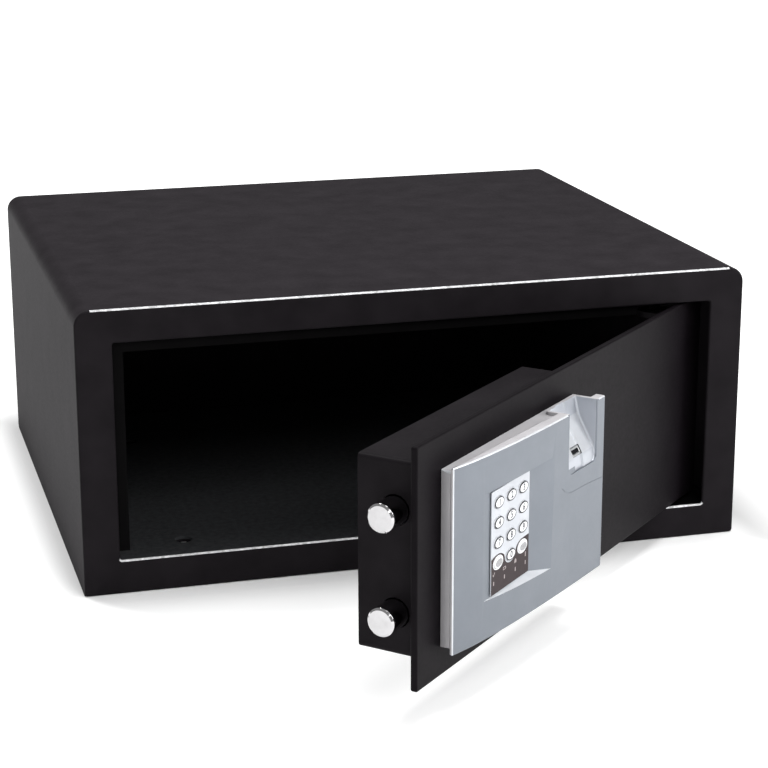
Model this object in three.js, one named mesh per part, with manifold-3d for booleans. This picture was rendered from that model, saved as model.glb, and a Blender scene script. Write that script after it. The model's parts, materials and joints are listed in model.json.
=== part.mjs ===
// A laptop safe: a low steel cabinet whose door stands open with its two bolts thrown.
// Millimetres, +Z up, +X to the right, the front faces -Y.
// The origin is the centre of the cabinet's underside.

import * as THREE from 'three';
import { mergeVertices } from 'three/addons/utils/BufferGeometryUtils.js';
import Module from 'manifold-3d';

const wasm = await Module();
wasm.setup();

// Driving dimensions: cabinet
const CABINET_WIDTH = 430;
const CABINET_DEPTH = 370;
const CABINET_HEIGHT = 180;
const SHEET = 2;
const BEND_RADIUS = 10;
const LOWER_CORNER_RADIUS = 2;
const FRAME_SHEET = 2;
const FRAME_SIDE = 22.5;
const FRAME_TOP = 21;
const FRAME_SILL = 21.5;
const OPENING_CORNER = 1.5;
const BASE_FLANGE = 14;
const MAT_THICKNESS = 2;
const MAT_MARGIN = 4;
const ANCHOR_RADIUS = 5.5;
const BASE_ANCHOR = { x: 140, y: 110 };
const BACK_ANCHOR = { x: 120, z: 60 };

// Driving dimensions: door stop behind the opening's left and top edges
const STOP_REACH = 7;
const STOP_SHEET = 3;
const STOP_BACKING = 14;
const STOP_FOOT_GAP = 4.4;
const STOP_CLEARANCE = 0.8;

// Driving dimensions: door leaf and its hinge
const DOOR_REST = THREE.MathUtils.degToRad(44.35);
const DOOR_THICKNESS = 4;
const DOOR_SIDE_GAP = 2.2;
const DOOR_END_GAP = 1.5;
const DOOR_EDGE_ROUND = 1;
const PIVOT_INSET = 28;
const PIVOT_DEPTH = 22;
const PIN_RADIUS = 4;
const PIN_CLEARANCE = 0.3;
const PIN_REACH = { lower: 8, upper: 3 };
const PIN_HEAD = { radius: 6.5, height: 2.8 };
const BRACKET = { left: 16, right: 34, reach: 16, thickness: 4 };
const BRACKET_DROP = 1;
const WASHER = { radius: 8.5, thickness: 2.1 };
const TAB = { radius: 10, thickness: 4, lowGap: 0.5, highGap: 1.5 };
const STRAP = { width: 37, thickness: 3 };

// Driving dimensions: lock case behind the leaf
const CASE_LEFT = 6.5;
const CASE_WIDTH = 193;
const CASE_BOTTOM = 39;
const CASE_HEIGHT = 108;
const CASE_DEPTH = 35;
const CASE_WALL = 1.5;
const CASE_ROUND = 2.5;
const CASE_PILLAR = { radius: 4, insetLeft: 8, insetRight: 6.5, insetZ: 7.5, bore: 2.1, boreDepth: 12 };
const CASE_SCREW = { radius: 1.8, length: 12, head: 3.6, headHeight: 2 };

// Driving dimensions: bolt work
const BOLT_RADIUS = 8;
const BOLT_CHAMFER = 0.9;
const BOLT_THROW = 16;
const BOLT_REACH = 16.1;
const BOLT_LENGTH = 49.3;
const BOLT_DEPTH = 16.5;
const BOLT_HEIGHTS = [62.5, 119.5];
const BOLT_NAMES = ['bolt_lower', 'bolt_upper'];
const BOLT_SPIGOT = { radius: 4, length: 6.3 };
const BOLT_HOLE_CLEARANCE = 0.6;
const BAR_THICKNESS = 4;
const BAR_MARGIN = 12.5;
const BAR_WIDTH = 17;
const GUIDE = { offset: 14, thickness: 3, margin: 10.5, width: 20, foot: 14, footThickness: 3 };
const TONGUE_WIDTH = 7;
const TONGUE_HEIGHT = 12;
const TONGUE_LENGTH = 66;
const STUD = { radius: 2.2, head: 4.5, headHeight: 1.6, slotClearance: 0.3, xs: [67, 103.5] };

// Driving dimensions: rack, pinion and gear motor
const MODULE = 1.25;
const PINION_TEETH = 14;
const PRESSURE_ANGLE = THREE.MathUtils.degToRad(20);
const TOOTH_ADDENDUM = 0.8 * MODULE;
const TOOTH_DEDENDUM = 1.04 * MODULE;
const TOOTH_BACKLASH = 0.15;
const RACK_TEETH = 10;
const PINION_X = 84;
const PINION_Z = 82;
const PINION_SHAFT = { radius: 2.2, length: 9 };
const GEARBOX = { width: 28, bottom: 57, top: 112, depth: 13.7, front: 22.3 };
const GEARBOX_LEG = 3.5;
const MOTOR = { radius: 7.7, length: 25, z: 67, boss: 3 };

// Driving dimensions: battery holder, cells, lid and circuit board
const CELL = { radius: 7.1, length: 49.5, nub: 1, nubRadius: 2.6, count: 4, pitch: 14.5 };
const HOLDER = { left: 128, bottom: 44, front: 19, wall: 1.5, floor: 2, contact: 1.6, foot: 3 };
const LID = {
  inset: 3, topInset: 1, corner: 3, overlap: 4, thickness: 1.7, screwRise: 3.5, screwMargin: 4.5,
};
const LID_SCREW = { radius: 1.5, length: 7, head: 3.2, headHeight: 1.6 };
const BOARD = {
  width: 59, height: 31, thickness: 1.6, standoff: 3.7, standoffRadius: 2.5, inset: 4, topGap: 3,
};
const CONTROLLER = { x: 22, z: 9, width: 14, height: 10, rise: 2.2 };
const RELAY = { x: 44, z: 5, width: 10, height: 12, rise: 9 };
const LARGE_CAPACITOR = { x: 9, z: 20, radius: 4, rise: 11 };
const SMALL_CAPACITOR = { x: 10, z: 9, radius: 3, rise: 8 };

// Driving dimensions: fascia on the leaf's front
const FASCIA = { left: 24, right: 186, bottom: 36.5, top: 141, skin: 2.4, corner: 1.2 };
const FASCIA_EDGE = { left: 8, right: 20.2 };
const FASCIA_BULGE = { x: 62, n: 17.9 };
const FASCIA_BASE = { bottom: 40, top: 139, left: 6.3, right: 13.7, wall: 2.5, corner: 2 };
const FASCIA_SCREW = {
  x: 110, radius: 1.5, length: 10, head: 3.5, headHeight: 2, boss: 4.2, bossHeight: 9, boreDepth: 8, inset: 6,
};
const CABLE_HOLE = { x: 110, z: 90, radius: 6 };

// Driving dimensions: keypad
const KEY = { halfWidth: 5.1, halfHeight: 3.1, edge: 0.5, edgeDrop: 0.3, sides: 14 };
const KEY_TRAVEL = 0.6;
const KEY_PROUD = 0.7;
const KEY_FLANGE = { reach: 1, thickness: 0.6 };
const KEY_CLEARANCE = 0.25;
const KEY_CENTRE = { x: 79.5, z: 94.2 };
const KEY_PITCH = { x: 14.5, z: 11.4 };
const KEYPAD_PLANE = 13.6;
const FOIL = { width: 45, bottom: 59.9, top: 118.7, thickness: 0.6 };
const KEYPAD_FLOOR = 1.7;
const KEYPAD_BLOCK = { left: 7, right: 3, low: 3, high: 1 };
const KEYPAD_SLOPE = { ramp: 18.6, rise: 5.6, ledge: 4, depth: 6.3 };
const KEY_BOARD = { margin: 2.5, thickness: 1.6, spacer: 1.5, inset: 1.6 };

// Driving dimensions: finger scoop and its sensor
const SCOOP = {
  left: 141, right: 175.5, bottom: 104.6, topBack: 5.6, back: 7.5, bend: 131, foot: 17.4, footRise: 8.4,
  lip: 18.8, round: 4, wall: 1.8,
};
const FINGER_GROOVE = { left: 150, right: 161.3, depth: 0.9 };
const SENSOR = {
  x: 155.6, z: 114.7, width: 10.6, height: 5.1, depth: 3.5, window: 8.4, windowHeight: 2.2,
  windowDepth: 1.2,
};

// Clearances, and how far a cutting tool runs past what it cuts
const SEAT = 0.3;
const FIT = 0.2;
const PAST = 1;
const FAR = 40;

// Worked-out places: cabinet
const halfWidth = CABINET_WIDTH / 2;
const halfDepth = CABINET_DEPTH / 2;
const frameBack = -halfDepth + FRAME_SHEET;
const backInner = halfDepth - SHEET;
const openLeft = -halfWidth + FRAME_SIDE;
const openRight = halfWidth - FRAME_SIDE;
const openTop = CABINET_HEIGHT - FRAME_TOP;
const openBottom = FRAME_SILL;

// Worked-out places: door
const doorWidth = openRight - openLeft - 2 * DOOR_SIDE_GAP;
const doorBottom = openBottom + DOOR_END_GAP;
const doorTop = openTop - DOOR_END_GAP;
const pivotX = openRight - DOOR_SIDE_GAP - PIVOT_INSET;
const pivotY = -halfDepth + PIVOT_DEPTH;
const pivotAlong = doorWidth - PIVOT_INSET;
const leafBack = DOOR_THICKNESS + SEAT;
const stopFront = -halfDepth + DOOR_THICKNESS + STOP_CLEARANCE;
const bracketLow = openBottom - BRACKET_DROP;
const bracketHigh = openTop + BRACKET_DROP;
const tabLow = bracketLow + WASHER.thickness + TAB.lowGap;
const tabHigh = openTop - STOP_REACH - TAB.highGap;

// Worked-out places: lock case and bolt work
const caseRight = CASE_LEFT + CASE_WIDTH;
const caseTop = CASE_BOTTOM + CASE_HEIGHT;
const caseBack = DOOR_THICKNESS + CASE_DEPTH;
const caseBackInner = caseBack - CASE_WALL;
const boltTip = CASE_LEFT - BOLT_REACH;
const boltRear = boltTip + BOLT_LENGTH;
const barLeft = boltRear + SEAT;
const barRight = barLeft + BAR_THICKNESS;
const pitchRadius = MODULE * PINION_TEETH / 2;
const rackPitch = Math.PI * MODULE;
const rackLine = PINION_Z + pitchRadius;
const rackRoot = rackLine + TOOTH_DEDENDUM;
const tongueFront = BOLT_DEPTH - TONGUE_WIDTH / 2;
const tongueBack = BOLT_DEPTH + TONGUE_WIDTH / 2;
const slotMiddle = rackRoot + TONGUE_HEIGHT * 0.6;
const gearboxLeft = PINION_X - GEARBOX.width / 2;
const gearboxRight = PINION_X + GEARBOX.width / 2;
const holderWidth = CELL.length + CELL.nub + 2 * (HOLDER.contact + HOLDER.wall + SEAT);
const holderHeight = CELL.count * CELL.pitch + 2 * HOLDER.wall;
const holderBack = HOLDER.front + HOLDER.floor + 2 * CELL.radius + 3 * SEAT;
const lidOpening = {
  x0: HOLDER.left + LID.inset,
  x1: HOLDER.left + holderWidth - LID.inset,
  z0: HOLDER.bottom + LID.inset,
  z1: HOLDER.bottom + holderHeight - LID.topInset,
};
const lidScrewZ = HOLDER.bottom + holderHeight + LID.screwRise;
const boardTop = caseTop - BOARD.topGap;

// Materials
const paint = (color, roughness) => new THREE.MeshStandardMaterial({ color, roughness, metalness: 0.1 });
const metal = (color, roughness) => new THREE.MeshStandardMaterial({ color, roughness, metalness: 0.9 });
const plastic = (color, roughness) => new THREE.MeshStandardMaterial({ color, roughness, metalness: 0 });
const blackPaint = paint(0x242225, 0.5);
const zincPlate = metal(0xb4b6b8, 0.4);
const chrome = metal(0xe8e8ea, 0.12);
const brass = metal(0xb89a55, 0.35);
const silverPlastic = plastic(0x9ea5ae, 0.4);
const greyPlastic = plastic(0x8f8d90, 0.45);
const whitePlastic = plastic(0xe4e6ea, 0.35);
const foilPlastic = plastic(0xd5d8de, 0.3);
const blackPlastic = plastic(0x151517, 0.4);
const boardGreen = plastic(0x1f5a3a, 0.5);
const nylon = plastic(0xdedcd2, 0.5);
const felt = plastic(0x2b2d30, 0.95);
const cellSleeve = plastic(0x3a3f46, 0.35);

// Booleans on closed meshes
function toSolid(geometry) {
  const bare = geometry.clone();
  bare.deleteAttribute('normal');
  bare.deleteAttribute('uv');
  const merged = mergeVertices(bare, 1e-4);
  const mesh = new wasm.Mesh({
    numProp: 3,
    vertProperties: new Float32Array(merged.attributes.position.array),
    triVerts: new Uint32Array(merged.index.array),
  });
  return new wasm.Manifold(mesh);
}

function toGeometry(solid) {
  const mesh = solid.getMesh();
  const geometry = new THREE.BufferGeometry();
  geometry.setAttribute('position', new THREE.BufferAttribute(mesh.vertProperties, 3));
  geometry.setIndex(new THREE.BufferAttribute(mesh.triVerts, 1));
  geometry.computeVertexNormals();
  return geometry;
}

function join(first, ...others) {
  return toGeometry(others.reduce((sum, part) => sum.add(toSolid(part)), toSolid(first)));
}

function cut(first, ...tools) {
  return toGeometry(tools.reduce((rest, tool) => rest.subtract(toSolid(tool)), toSolid(first)));
}

function common(first, ...others) {
  return toGeometry(others.reduce((rest, part) => rest.intersect(toSolid(part)), toSolid(first)));
}

// Outlines
function polygon(points) {
  return new THREE.Shape(points.map(([u, v]) => new THREE.Vector2(u, v)));
}

function roundedOutline(u0, u1, v0, v1, low, high = low, path = new THREE.Shape()) {
  path.moveTo(u0 + low, v0);
  path.lineTo(u1 - low, v0);
  path.absarc(u1 - low, v0 + low, low, -Math.PI / 2, 0, false);
  path.lineTo(u1, v1 - high);
  path.absarc(u1 - high, v1 - high, high, 0, Math.PI / 2, false);
  path.lineTo(u0 + high, v1);
  path.absarc(u0 + high, v1 - high, high, Math.PI / 2, Math.PI, false);
  path.lineTo(u0, v0 + low);
  path.absarc(u0 + low, v0 + low, low, Math.PI, Math.PI * 1.5, false);
  return path;
}

function ovalHole(u, v, halfU, halfV, sides = 16) {
  const corners = Array.from({ length: sides }, (unused, index) => {
    const angle = index * 2 * Math.PI / sides;
    return new THREE.Vector2(u + halfU * Math.sin(angle), v + halfV * Math.cos(angle));
  });
  return new THREE.Path(corners);
}

const circleHole = (u, v, radius, sides) => ovalHole(u, v, radius, radius, sides);

// Extrusions along each axis; an edge bevel stays inside the outline
function extrude(shape, length, bevel = 0, curveSegments = 3) {
  return new THREE.ExtrudeGeometry(shape, {
    depth: length - 2 * bevel,
    bevelEnabled: bevel > 0,
    bevelThickness: bevel,
    bevelSize: bevel,
    bevelOffset: -bevel,
    bevelSegments: 1,
    curveSegments,
  }).translate(0, 0, bevel);
}

const axisX = new THREE.Vector3(1, 0, 0);
const axisY = new THREE.Vector3(0, 1, 0);
const axisZ = new THREE.Vector3(0, 0, 1);
const turnToX = new THREE.Matrix4().makeBasis(axisY, axisZ, axisX);
const turnToY = new THREE.Matrix4().makeBasis(axisX, axisZ, axisY.clone().negate());

function alongX(shape, x0, x1, segments) {
  return extrude(shape, x1 - x0, 0, segments).applyMatrix4(turnToX).translate(x0, 0, 0);
}

function alongY(shape, y0, y1, bevel, segments) {
  return extrude(shape, y1 - y0, bevel, segments).applyMatrix4(turnToY).translate(0, y1, 0);
}

function alongZ(shape, z0, z1, segments) {
  return extrude(shape, z1 - z0, 0, segments).translate(0, 0, z0);
}

function box(x0, x1, y0, y1, z0, z1) {
  return new THREE.BoxGeometry(x1 - x0, y1 - y0, z1 - z0)
    .translate((x0 + x1) / 2, (y0 + y1) / 2, (z0 + z1) / 2);
}

// A turned piece: its outline is [radius, height] pairs from the axis and back to it, along +Y
function turned(points, sides = 16) {
  const outline = points.map(([radius, height]) => new THREE.Vector2(radius, height));
  return new THREE.LatheGeometry(outline, sides);
}

function rod(radius, length, sides = 16) {
  return turned([[0, 0], [radius, 0], [radius, length], [0, length]], sides);
}

const rodX = (radius, x0, x1, y, z, sides) =>
  rod(radius, x1 - x0, sides).rotateZ(-Math.PI / 2).translate(x0, y, z);
const rodY = (radius, y0, y1, x, z, sides) => rod(radius, y1 - y0, sides).translate(x, y0, z);
const rodZ = (radius, z0, z1, x, y, sides) =>
  rod(radius, z1 - z0, sides).rotateX(Math.PI / 2).translate(x, y, z0);

function named(name, geometry, material) {
  const mesh = new THREE.Mesh(geometry, material);
  mesh.name = name;
  return mesh;
}

// Cabinet: a wrapper bent over the top and both sides, closed by frame, base and back
function bodyShell() {
  const outer = halfWidth;
  const inner = halfWidth - SHEET;
  const top = CABINET_HEIGHT;
  const innerRadius = Math.max(BEND_RADIUS - SHEET, 0.5);
  const outline = new THREE.Shape();
  outline.moveTo(outer, 0);
  outline.lineTo(outer, top - BEND_RADIUS);
  outline.absarc(outer - BEND_RADIUS, top - BEND_RADIUS, BEND_RADIUS, 0, Math.PI / 2, false);
  outline.lineTo(BEND_RADIUS - outer, top);
  outline.absarc(BEND_RADIUS - outer, top - BEND_RADIUS, BEND_RADIUS, Math.PI / 2, Math.PI, false);
  outline.lineTo(-outer, 0);
  outline.lineTo(-inner, 0);
  outline.lineTo(-inner, top - SHEET - innerRadius);
  outline.absarc(innerRadius - inner, top - SHEET - innerRadius, innerRadius, Math.PI, Math.PI / 2, true);
  outline.lineTo(inner - innerRadius, top - SHEET);
  outline.absarc(inner - innerRadius, top - SHEET - innerRadius, innerRadius, Math.PI / 2, 0, true);
  outline.lineTo(inner, 0);
  return named('body_shell', alongY(outline, frameBack, backInner, 0, 4), blackPaint);
}

function endOutline() {
  return roundedOutline(-halfWidth, halfWidth, 0, CABINET_HEIGHT, LOWER_CORNER_RADIUS, BEND_RADIUS);
}

function frontFrame() {
  const outline = endOutline();
  const opening = roundedOutline(
    openLeft, openRight, openBottom, openTop, OPENING_CORNER, OPENING_CORNER, new THREE.Path(),
  );
  outline.holes.push(opening);
  return named('front_frame', alongY(outline, -halfDepth, frameBack, 0, 4), blackPaint);
}

function backPanel() {
  const outline = endOutline();
  for (const side of [-1, 1]) {
    outline.holes.push(circleHole(side * BACK_ANCHOR.x, BACK_ANCHOR.z, ANCHOR_RADIUS));
  }
  return named('back_panel', alongY(outline, backInner, halfDepth, 0, 4), blackPaint);
}

function anchorHoles(z0, z1) {
  const holes = [];
  for (const sideX of [-1, 1]) {
    for (const sideY of [-1, 1]) {
      holes.push(rodZ(ANCHOR_RADIUS, z0, z1, sideX * BASE_ANCHOR.x, sideY * BASE_ANCHOR.y));
    }
  }
  return holes;
}

function basePlate() {
  const inner = halfWidth - SHEET;
  const tray = polygon([
    [-inner, 0], [inner, 0], [inner, BASE_FLANGE], [inner - SHEET, BASE_FLANGE], [inner - SHEET, SHEET],
    [SHEET - inner, SHEET], [SHEET - inner, BASE_FLANGE], [-inner, BASE_FLANGE],
  ]);
  const plate = alongY(tray, frameBack, backInner);
  return named('base_plate', cut(plate, ...anchorHoles(-PAST, SHEET + PAST)), blackPaint);
}

function floorMat() {
  const reach = halfWidth - 2 * SHEET - MAT_MARGIN;
  const front = frameBack + MAT_MARGIN;
  const mat = box(-reach, reach, front, backInner - MAT_MARGIN, SHEET, SHEET + MAT_THICKNESS);
  return named('floor_mat', cut(mat, ...anchorHoles(0, SHEET + MAT_THICKNESS + PAST)), felt);
}

// The stop runs down the left of the opening and along its top, up to the hinge
function doorStop() {
  const outerX = openLeft - STOP_BACKING;
  const outerZ = openTop + STOP_BACKING / 2;
  const endX = pivotX - BRACKET.left - 2;
  const foot = openBottom + STOP_FOOT_GAP;
  const angle = (lipX, lipZ) => polygon([
    [outerX, foot], [lipX, foot], [lipX, lipZ], [endX, lipZ], [endX, outerZ], [outerX, outerZ],
  ]);
  const lip = angle(openLeft + STOP_REACH, openTop - STOP_REACH);
  const flange = alongY(lip, stopFront, stopFront + STOP_SHEET);
  const backing = alongY(angle(openLeft - 1, openTop + 1), frameBack, stopFront + 1);
  return named('door_stop', join(flange, backing), blackPaint);
}

// Hinge: two fixed brackets carry headed pins, and the leaf's strap turns on them
function hingeBracket(name, plateLow, legLow, legHigh) {
  const x0 = pivotX - BRACKET.left;
  const x1 = pivotX + BRACKET.right;
  const plate = alongZ(
    roundedOutline(x0, x1, frameBack, pivotY + BRACKET.reach, 0.5, 6),
    plateLow,
    plateLow + BRACKET.thickness,
  );
  const leg = box(x0, x1, frameBack, frameBack + SHEET, legLow, legHigh);
  const hole = rodZ(PIN_RADIUS + FIT, plateLow - 1, plateLow + BRACKET.thickness + 1, pivotX, pivotY);
  return named(name, cut(join(plate, leg), hole), blackPaint);
}

function hingePin(name, headFace, tip) {
  const up = Math.sign(tip - headFace);
  const length = Math.abs(tip - headFace);
  const outline = [
    [0, -PIN_HEAD.height], [PIN_HEAD.radius, -PIN_HEAD.height], [PIN_HEAD.radius, 0], [PIN_RADIUS, 0],
    [PIN_RADIUS, length - 1], [PIN_RADIUS - 1, length], [0, length],
  ];
  const pin = turned(outline).rotateX(up * Math.PI / 2).translate(pivotX, pivotY, headFace);
  return named(name, pin, zincPlate);
}

function hingeWasher() {
  const low = bracketLow + FIT;
  const disc = rodZ(WASHER.radius, low, low + WASHER.thickness, pivotX, pivotY);
  const hole = rodZ(PIN_RADIUS + PIN_CLEARANCE, low - 1, low + WASHER.thickness + 1, pivotX, pivotY);
  return named('hinge_washer', cut(disc, hole), nylon);
}

function cabinet() {
  const group = new THREE.Group();
  const lowPlate = bracketLow - BRACKET.thickness;
  group.add(bodyShell(), frontFrame(), backPanel(), basePlate(), floorMat(), doorStop());
  group.add(hingeBracket('hinge_bracket_lower', lowPlate, SHEET, bracketLow - 1));
  group.add(hingeBracket('hinge_bracket_upper', bracketHigh, bracketHigh + 1, CABINET_HEIGHT - SHEET));
  group.add(hingePin('hinge_pin_lower', lowPlate - FIT, tabLow + TAB.thickness + PIN_REACH.lower));
  group.add(hingePin(
    'hinge_pin_upper', bracketHigh + BRACKET.thickness + FIT, tabHigh - TAB.thickness - PIN_REACH.upper,
  ));
  group.add(hingeWasher());
  return group;
}

// Door leaf. Its group has x along the leaf from the free edge, y into the cabinet, z as a height.
const pillarPlaces = [CASE_LEFT + CASE_PILLAR.insetLeft, caseRight - CASE_PILLAR.insetRight].flatMap((x) =>
  [CASE_BOTTOM + CASE_PILLAR.insetZ, caseTop - CASE_PILLAR.insetZ].map((z) => ({ x, z })));
const fasciaScrewHeights = [FASCIA_BASE.bottom + FASCIA_SCREW.inset, FASCIA_BASE.top - FASCIA_SCREW.inset];

function doorPlate() {
  const outline = roundedOutline(0, doorWidth, doorBottom, doorTop, OPENING_CORNER);
  let plate = alongY(outline, 0, DOOR_THICKNESS, DOOR_EDGE_ROUND, 1);
  const pillarEnd = caseBackInner - SEAT;
  for (const { x, z } of pillarPlaces) {
    const pillar = rodY(CASE_PILLAR.radius, DOOR_THICKNESS - 1, pillarEnd, x, z, 12);
    const bore = rodY(CASE_PILLAR.bore, pillarEnd - CASE_PILLAR.boreDepth, pillarEnd + 1, x, z, 8);
    plate = join(plate, cut(pillar, bore));
  }
  const holes = fasciaScrewHeights.map((z) =>
    rodY(FASCIA_SCREW.radius + PIN_CLEARANCE, -1, DOOR_THICKNESS + 1, FASCIA_SCREW.x, z, 12));
  holes.push(rodY(CABLE_HOLE.radius, -1, DOOR_THICKNESS + 1, CABLE_HOLE.x, CABLE_HOLE.z, 20));
  return named('door_plate', cut(plate, ...holes), blackPaint);
}

function hingeStrap() {
  const strap = box(
    pivotAlong - STRAP.width / 2, pivotAlong + STRAP.width / 2,
    leafBack, leafBack + STRAP.thickness, tabLow, tabHigh,
  );
  const tabOutline = new THREE.Shape();
  tabOutline.moveTo(pivotAlong - TAB.radius, leafBack);
  tabOutline.lineTo(pivotAlong + TAB.radius, leafBack);
  tabOutline.lineTo(pivotAlong + TAB.radius, PIVOT_DEPTH);
  tabOutline.absarc(pivotAlong, PIVOT_DEPTH, TAB.radius, 0, Math.PI, false);
  tabOutline.holes.push(circleHole(pivotAlong, PIVOT_DEPTH, PIN_RADIUS + PIN_CLEARANCE));
  const lowTab = alongZ(tabOutline, tabLow, tabLow + TAB.thickness, 5);
  const highTab = alongZ(tabOutline, tabHigh - TAB.thickness, tabHigh, 5);
  return named('hinge_strap', join(strap, lowTab, highTab), blackPaint);
}

// Lock case: a folded tray over the bolt work, screwed to the leaf's pillars
function lockCase() {
  const outer = roundedOutline(CASE_LEFT, caseRight, CASE_BOTTOM, caseTop, CASE_ROUND);
  const inner = roundedOutline(
    CASE_LEFT + CASE_WALL, caseRight - CASE_WALL, CASE_BOTTOM + CASE_WALL, caseTop - CASE_WALL,
    CASE_ROUND - CASE_WALL,
  );
  const tray = cut(alongY(outer, leafBack, caseBack, 0, 2), alongY(inner, 0, caseBackInner, 0, 1));
  const boltHoles = BOLT_HEIGHTS.map((z) =>
    rodX(BOLT_RADIUS + BOLT_HOLE_CLEARANCE, CASE_LEFT - 1, CASE_LEFT + CASE_WALL + 1, BOLT_DEPTH, z));
  const screwHoles = pillarPlaces.map(({ x, z }) =>
    rodY(CASE_SCREW.radius + PIN_CLEARANCE, caseBackInner - 1, caseBack + 1, x, z, 12));
  const { x0, x1, z0, z1 } = lidOpening;
  const window = box(x0, x1, caseBackInner - 1, caseBack + 1, z0, z1);
  const lidHole = rodY(
    LID_SCREW.radius + PIN_CLEARANCE, caseBackInner - PAST, caseBack + PAST, (x0 + x1) / 2, lidScrewZ, 12,
  );
  return named('lock_case', cut(tray, ...boltHoles, ...screwHoles, window, lidHole), blackPaint);
}

function screw(name, place, size, sides = 10) {
  const outline = [
    [0, -size.length], [size.radius * 0.6, -size.length], [size.radius, -size.length + 1], [size.radius, 0],
    [size.head, 0], [size.head, size.headHeight * 0.6], [size.head * 0.7, size.headHeight],
    [0, size.headHeight],
  ];
  const body = turned(outline, sides);
  if (place.towardFront) {
    body.rotateX(Math.PI);
  }
  return named(name, body.translate(place.x, place.y, place.z), zincPlate);
}

function caseScrews() {
  return pillarPlaces.map(({ x, z }, index) =>
    screw(`case_screw_${index + 1}`, { x, y: caseBack + SEAT, z }, CASE_SCREW));
}

function batteryLid() {
  const { x0, x1, z0, z1 } = lidOpening;
  const faceTop = lidScrewZ + LID.screwMargin;
  const face = alongY(
    roundedOutline(x0 - LID.overlap, x1 + LID.overlap, z0 - LID.overlap, faceTop, LID.corner),
    caseBack + SEAT, caseBack + SEAT + LID.thickness, 0, 3,
  );
  const rim = box(x0 + SEAT, x1 - SEAT, caseBackInner, caseBack + SEAT + 1, z0 + SEAT, z1 - SEAT);
  const hole = rodY(LID_SCREW.radius + PIN_CLEARANCE, caseBack, caseBack + 5, (x0 + x1) / 2, lidScrewZ, 12);
  return named('battery_lid', cut(join(face, rim), hole), blackPlastic);
}

function lidScrew() {
  const { x0, x1 } = lidOpening;
  const seat = caseBack + LID.thickness + 2 * SEAT;
  return screw('battery_lid_screw', { x: (x0 + x1) / 2, y: seat, z: lidScrewZ }, LID_SCREW);
}

function batteryHolder() {
  const { left, bottom, front, wall, floor, contact } = HOLDER;
  const right = left + holderWidth;
  const top = bottom + holderHeight;
  const tray = cut(
    box(left, right, front, holderBack, bottom, top),
    box(left + wall, right - wall, front + floor, holderBack + 1, bottom + wall, top - wall),
  );
  const contacts = [
    box(left + wall - 0.5, left + wall + contact, front + floor - 0.5, holderBack - 3, bottom + 3, top - 3),
    box(right - wall - contact, right - wall + 0.5, front + floor - 0.5, holderBack - 3, bottom + 3, top - 3),
  ];
  const feet = [left + 6, right - 6].flatMap((x) => [bottom + 6, top - 6].map((z) =>
    rodY(HOLDER.foot, leafBack, front + 1, x, z, 12)));
  return named('battery_holder', join(tray, ...contacts, ...feet), blackPlastic);
}

function cells() {
  const { radius, length, nub, nubRadius, count, pitch } = CELL;
  const outline = [
    [0, 0], [radius - 1, 0], [radius, 1], [radius, length - 1], [radius - 1, length],
    [nubRadius, length], [nubRadius, length + nub], [0, length + nub],
  ];
  const x = HOLDER.left + HOLDER.wall + HOLDER.contact + SEAT;
  const y = HOLDER.front + HOLDER.floor + SEAT + radius;
  return Array.from({ length: count }, (unused, index) => {
    const z = HOLDER.bottom + HOLDER.wall + (index + 0.5) * pitch;
    const cell = turned(outline, 14).rotateZ(-Math.PI / 2);
    if (index % 2) {
      cell.rotateZ(Math.PI).translate(length + nub, 0, 0);
    }
    return named(`battery_cell_${index + 1}`, cell.translate(x, y, z), cellSleeve);
  });
}

function circuitBoard() {
  const left = HOLDER.left;
  const bottom = boardTop - BOARD.height;
  const face = leafBack + BOARD.standoff;
  const back = face + BOARD.thickness;
  const sunk = face + BOARD.thickness / 2;
  const chips = [CONTROLLER, RELAY].map(({ x, z, width, height, rise }) =>
    box(left + x, left + x + width, sunk, back + rise, bottom + z, bottom + z + height));
  const capacitors = [LARGE_CAPACITOR, SMALL_CAPACITOR].map(({ x, z, radius, rise }) =>
    rodY(radius, sunk, back + rise, left + x, bottom + z, 12));
  const standoffs = [left + BOARD.inset, left + BOARD.width - BOARD.inset].flatMap((x) =>
    [bottom + BOARD.inset, boardTop - BOARD.inset].map((z) =>
      rodY(BOARD.standoffRadius, leafBack, sunk, x, z, 12)));
  const board = box(left, left + BOARD.width, face, back, bottom, boardTop);
  return named('circuit_board', join(board, ...chips, ...capacitors, ...standoffs), boardGreen);
}

// Gear motor: the box stands on three legs, and its output shaft carries the pinion
function gearbox() {
  const { bottom, top, depth, front } = GEARBOX;
  const back = front + depth;
  const block = alongY(roundedOutline(gearboxLeft, gearboxRight, bottom, top, 2), front, back, 0, 3);
  const inset = GEARBOX_LEG + 0.5;
  const legPlaces = [
    [gearboxLeft + inset, bottom + inset],
    [gearboxRight - inset, bottom + inset],
    [PINION_X, top - GEARBOX_LEG],
  ];
  const legs = legPlaces.map(([x, z]) => rodY(GEARBOX_LEG, leafBack, front + 1, x, z, 16));
  const shaftBore = rodY(
    PINION_SHAFT.radius + PIN_CLEARANCE, front - PAST, front + depth * 0.7, PINION_X, PINION_Z, 20,
  );
  return named('gearbox', cut(join(block, ...legs), shaftBore), blackPlastic);
}

function driveMotor() {
  const { radius, length, boss, z } = MOTOR;
  const outline = [
    [0, 0], [radius - 0.8, 0], [radius, 0.8], [radius, length - 3], [radius - 0.8, length - 2],
    [boss, length - 2], [boss, length], [0, length],
  ];
  const y = GEARBOX.front + GEARBOX.depth / 2;
  const motor = turned(outline, 24).rotateZ(-Math.PI / 2).translate(gearboxRight + SEAT, y, z);
  return named('drive_motor', motor, zincPlate);
}

// Pinion flanks are involutes of a stub-toothed gear; below the base circle they are radial
function involute(angle) {
  return Math.tan(angle) - angle;
}

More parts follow.
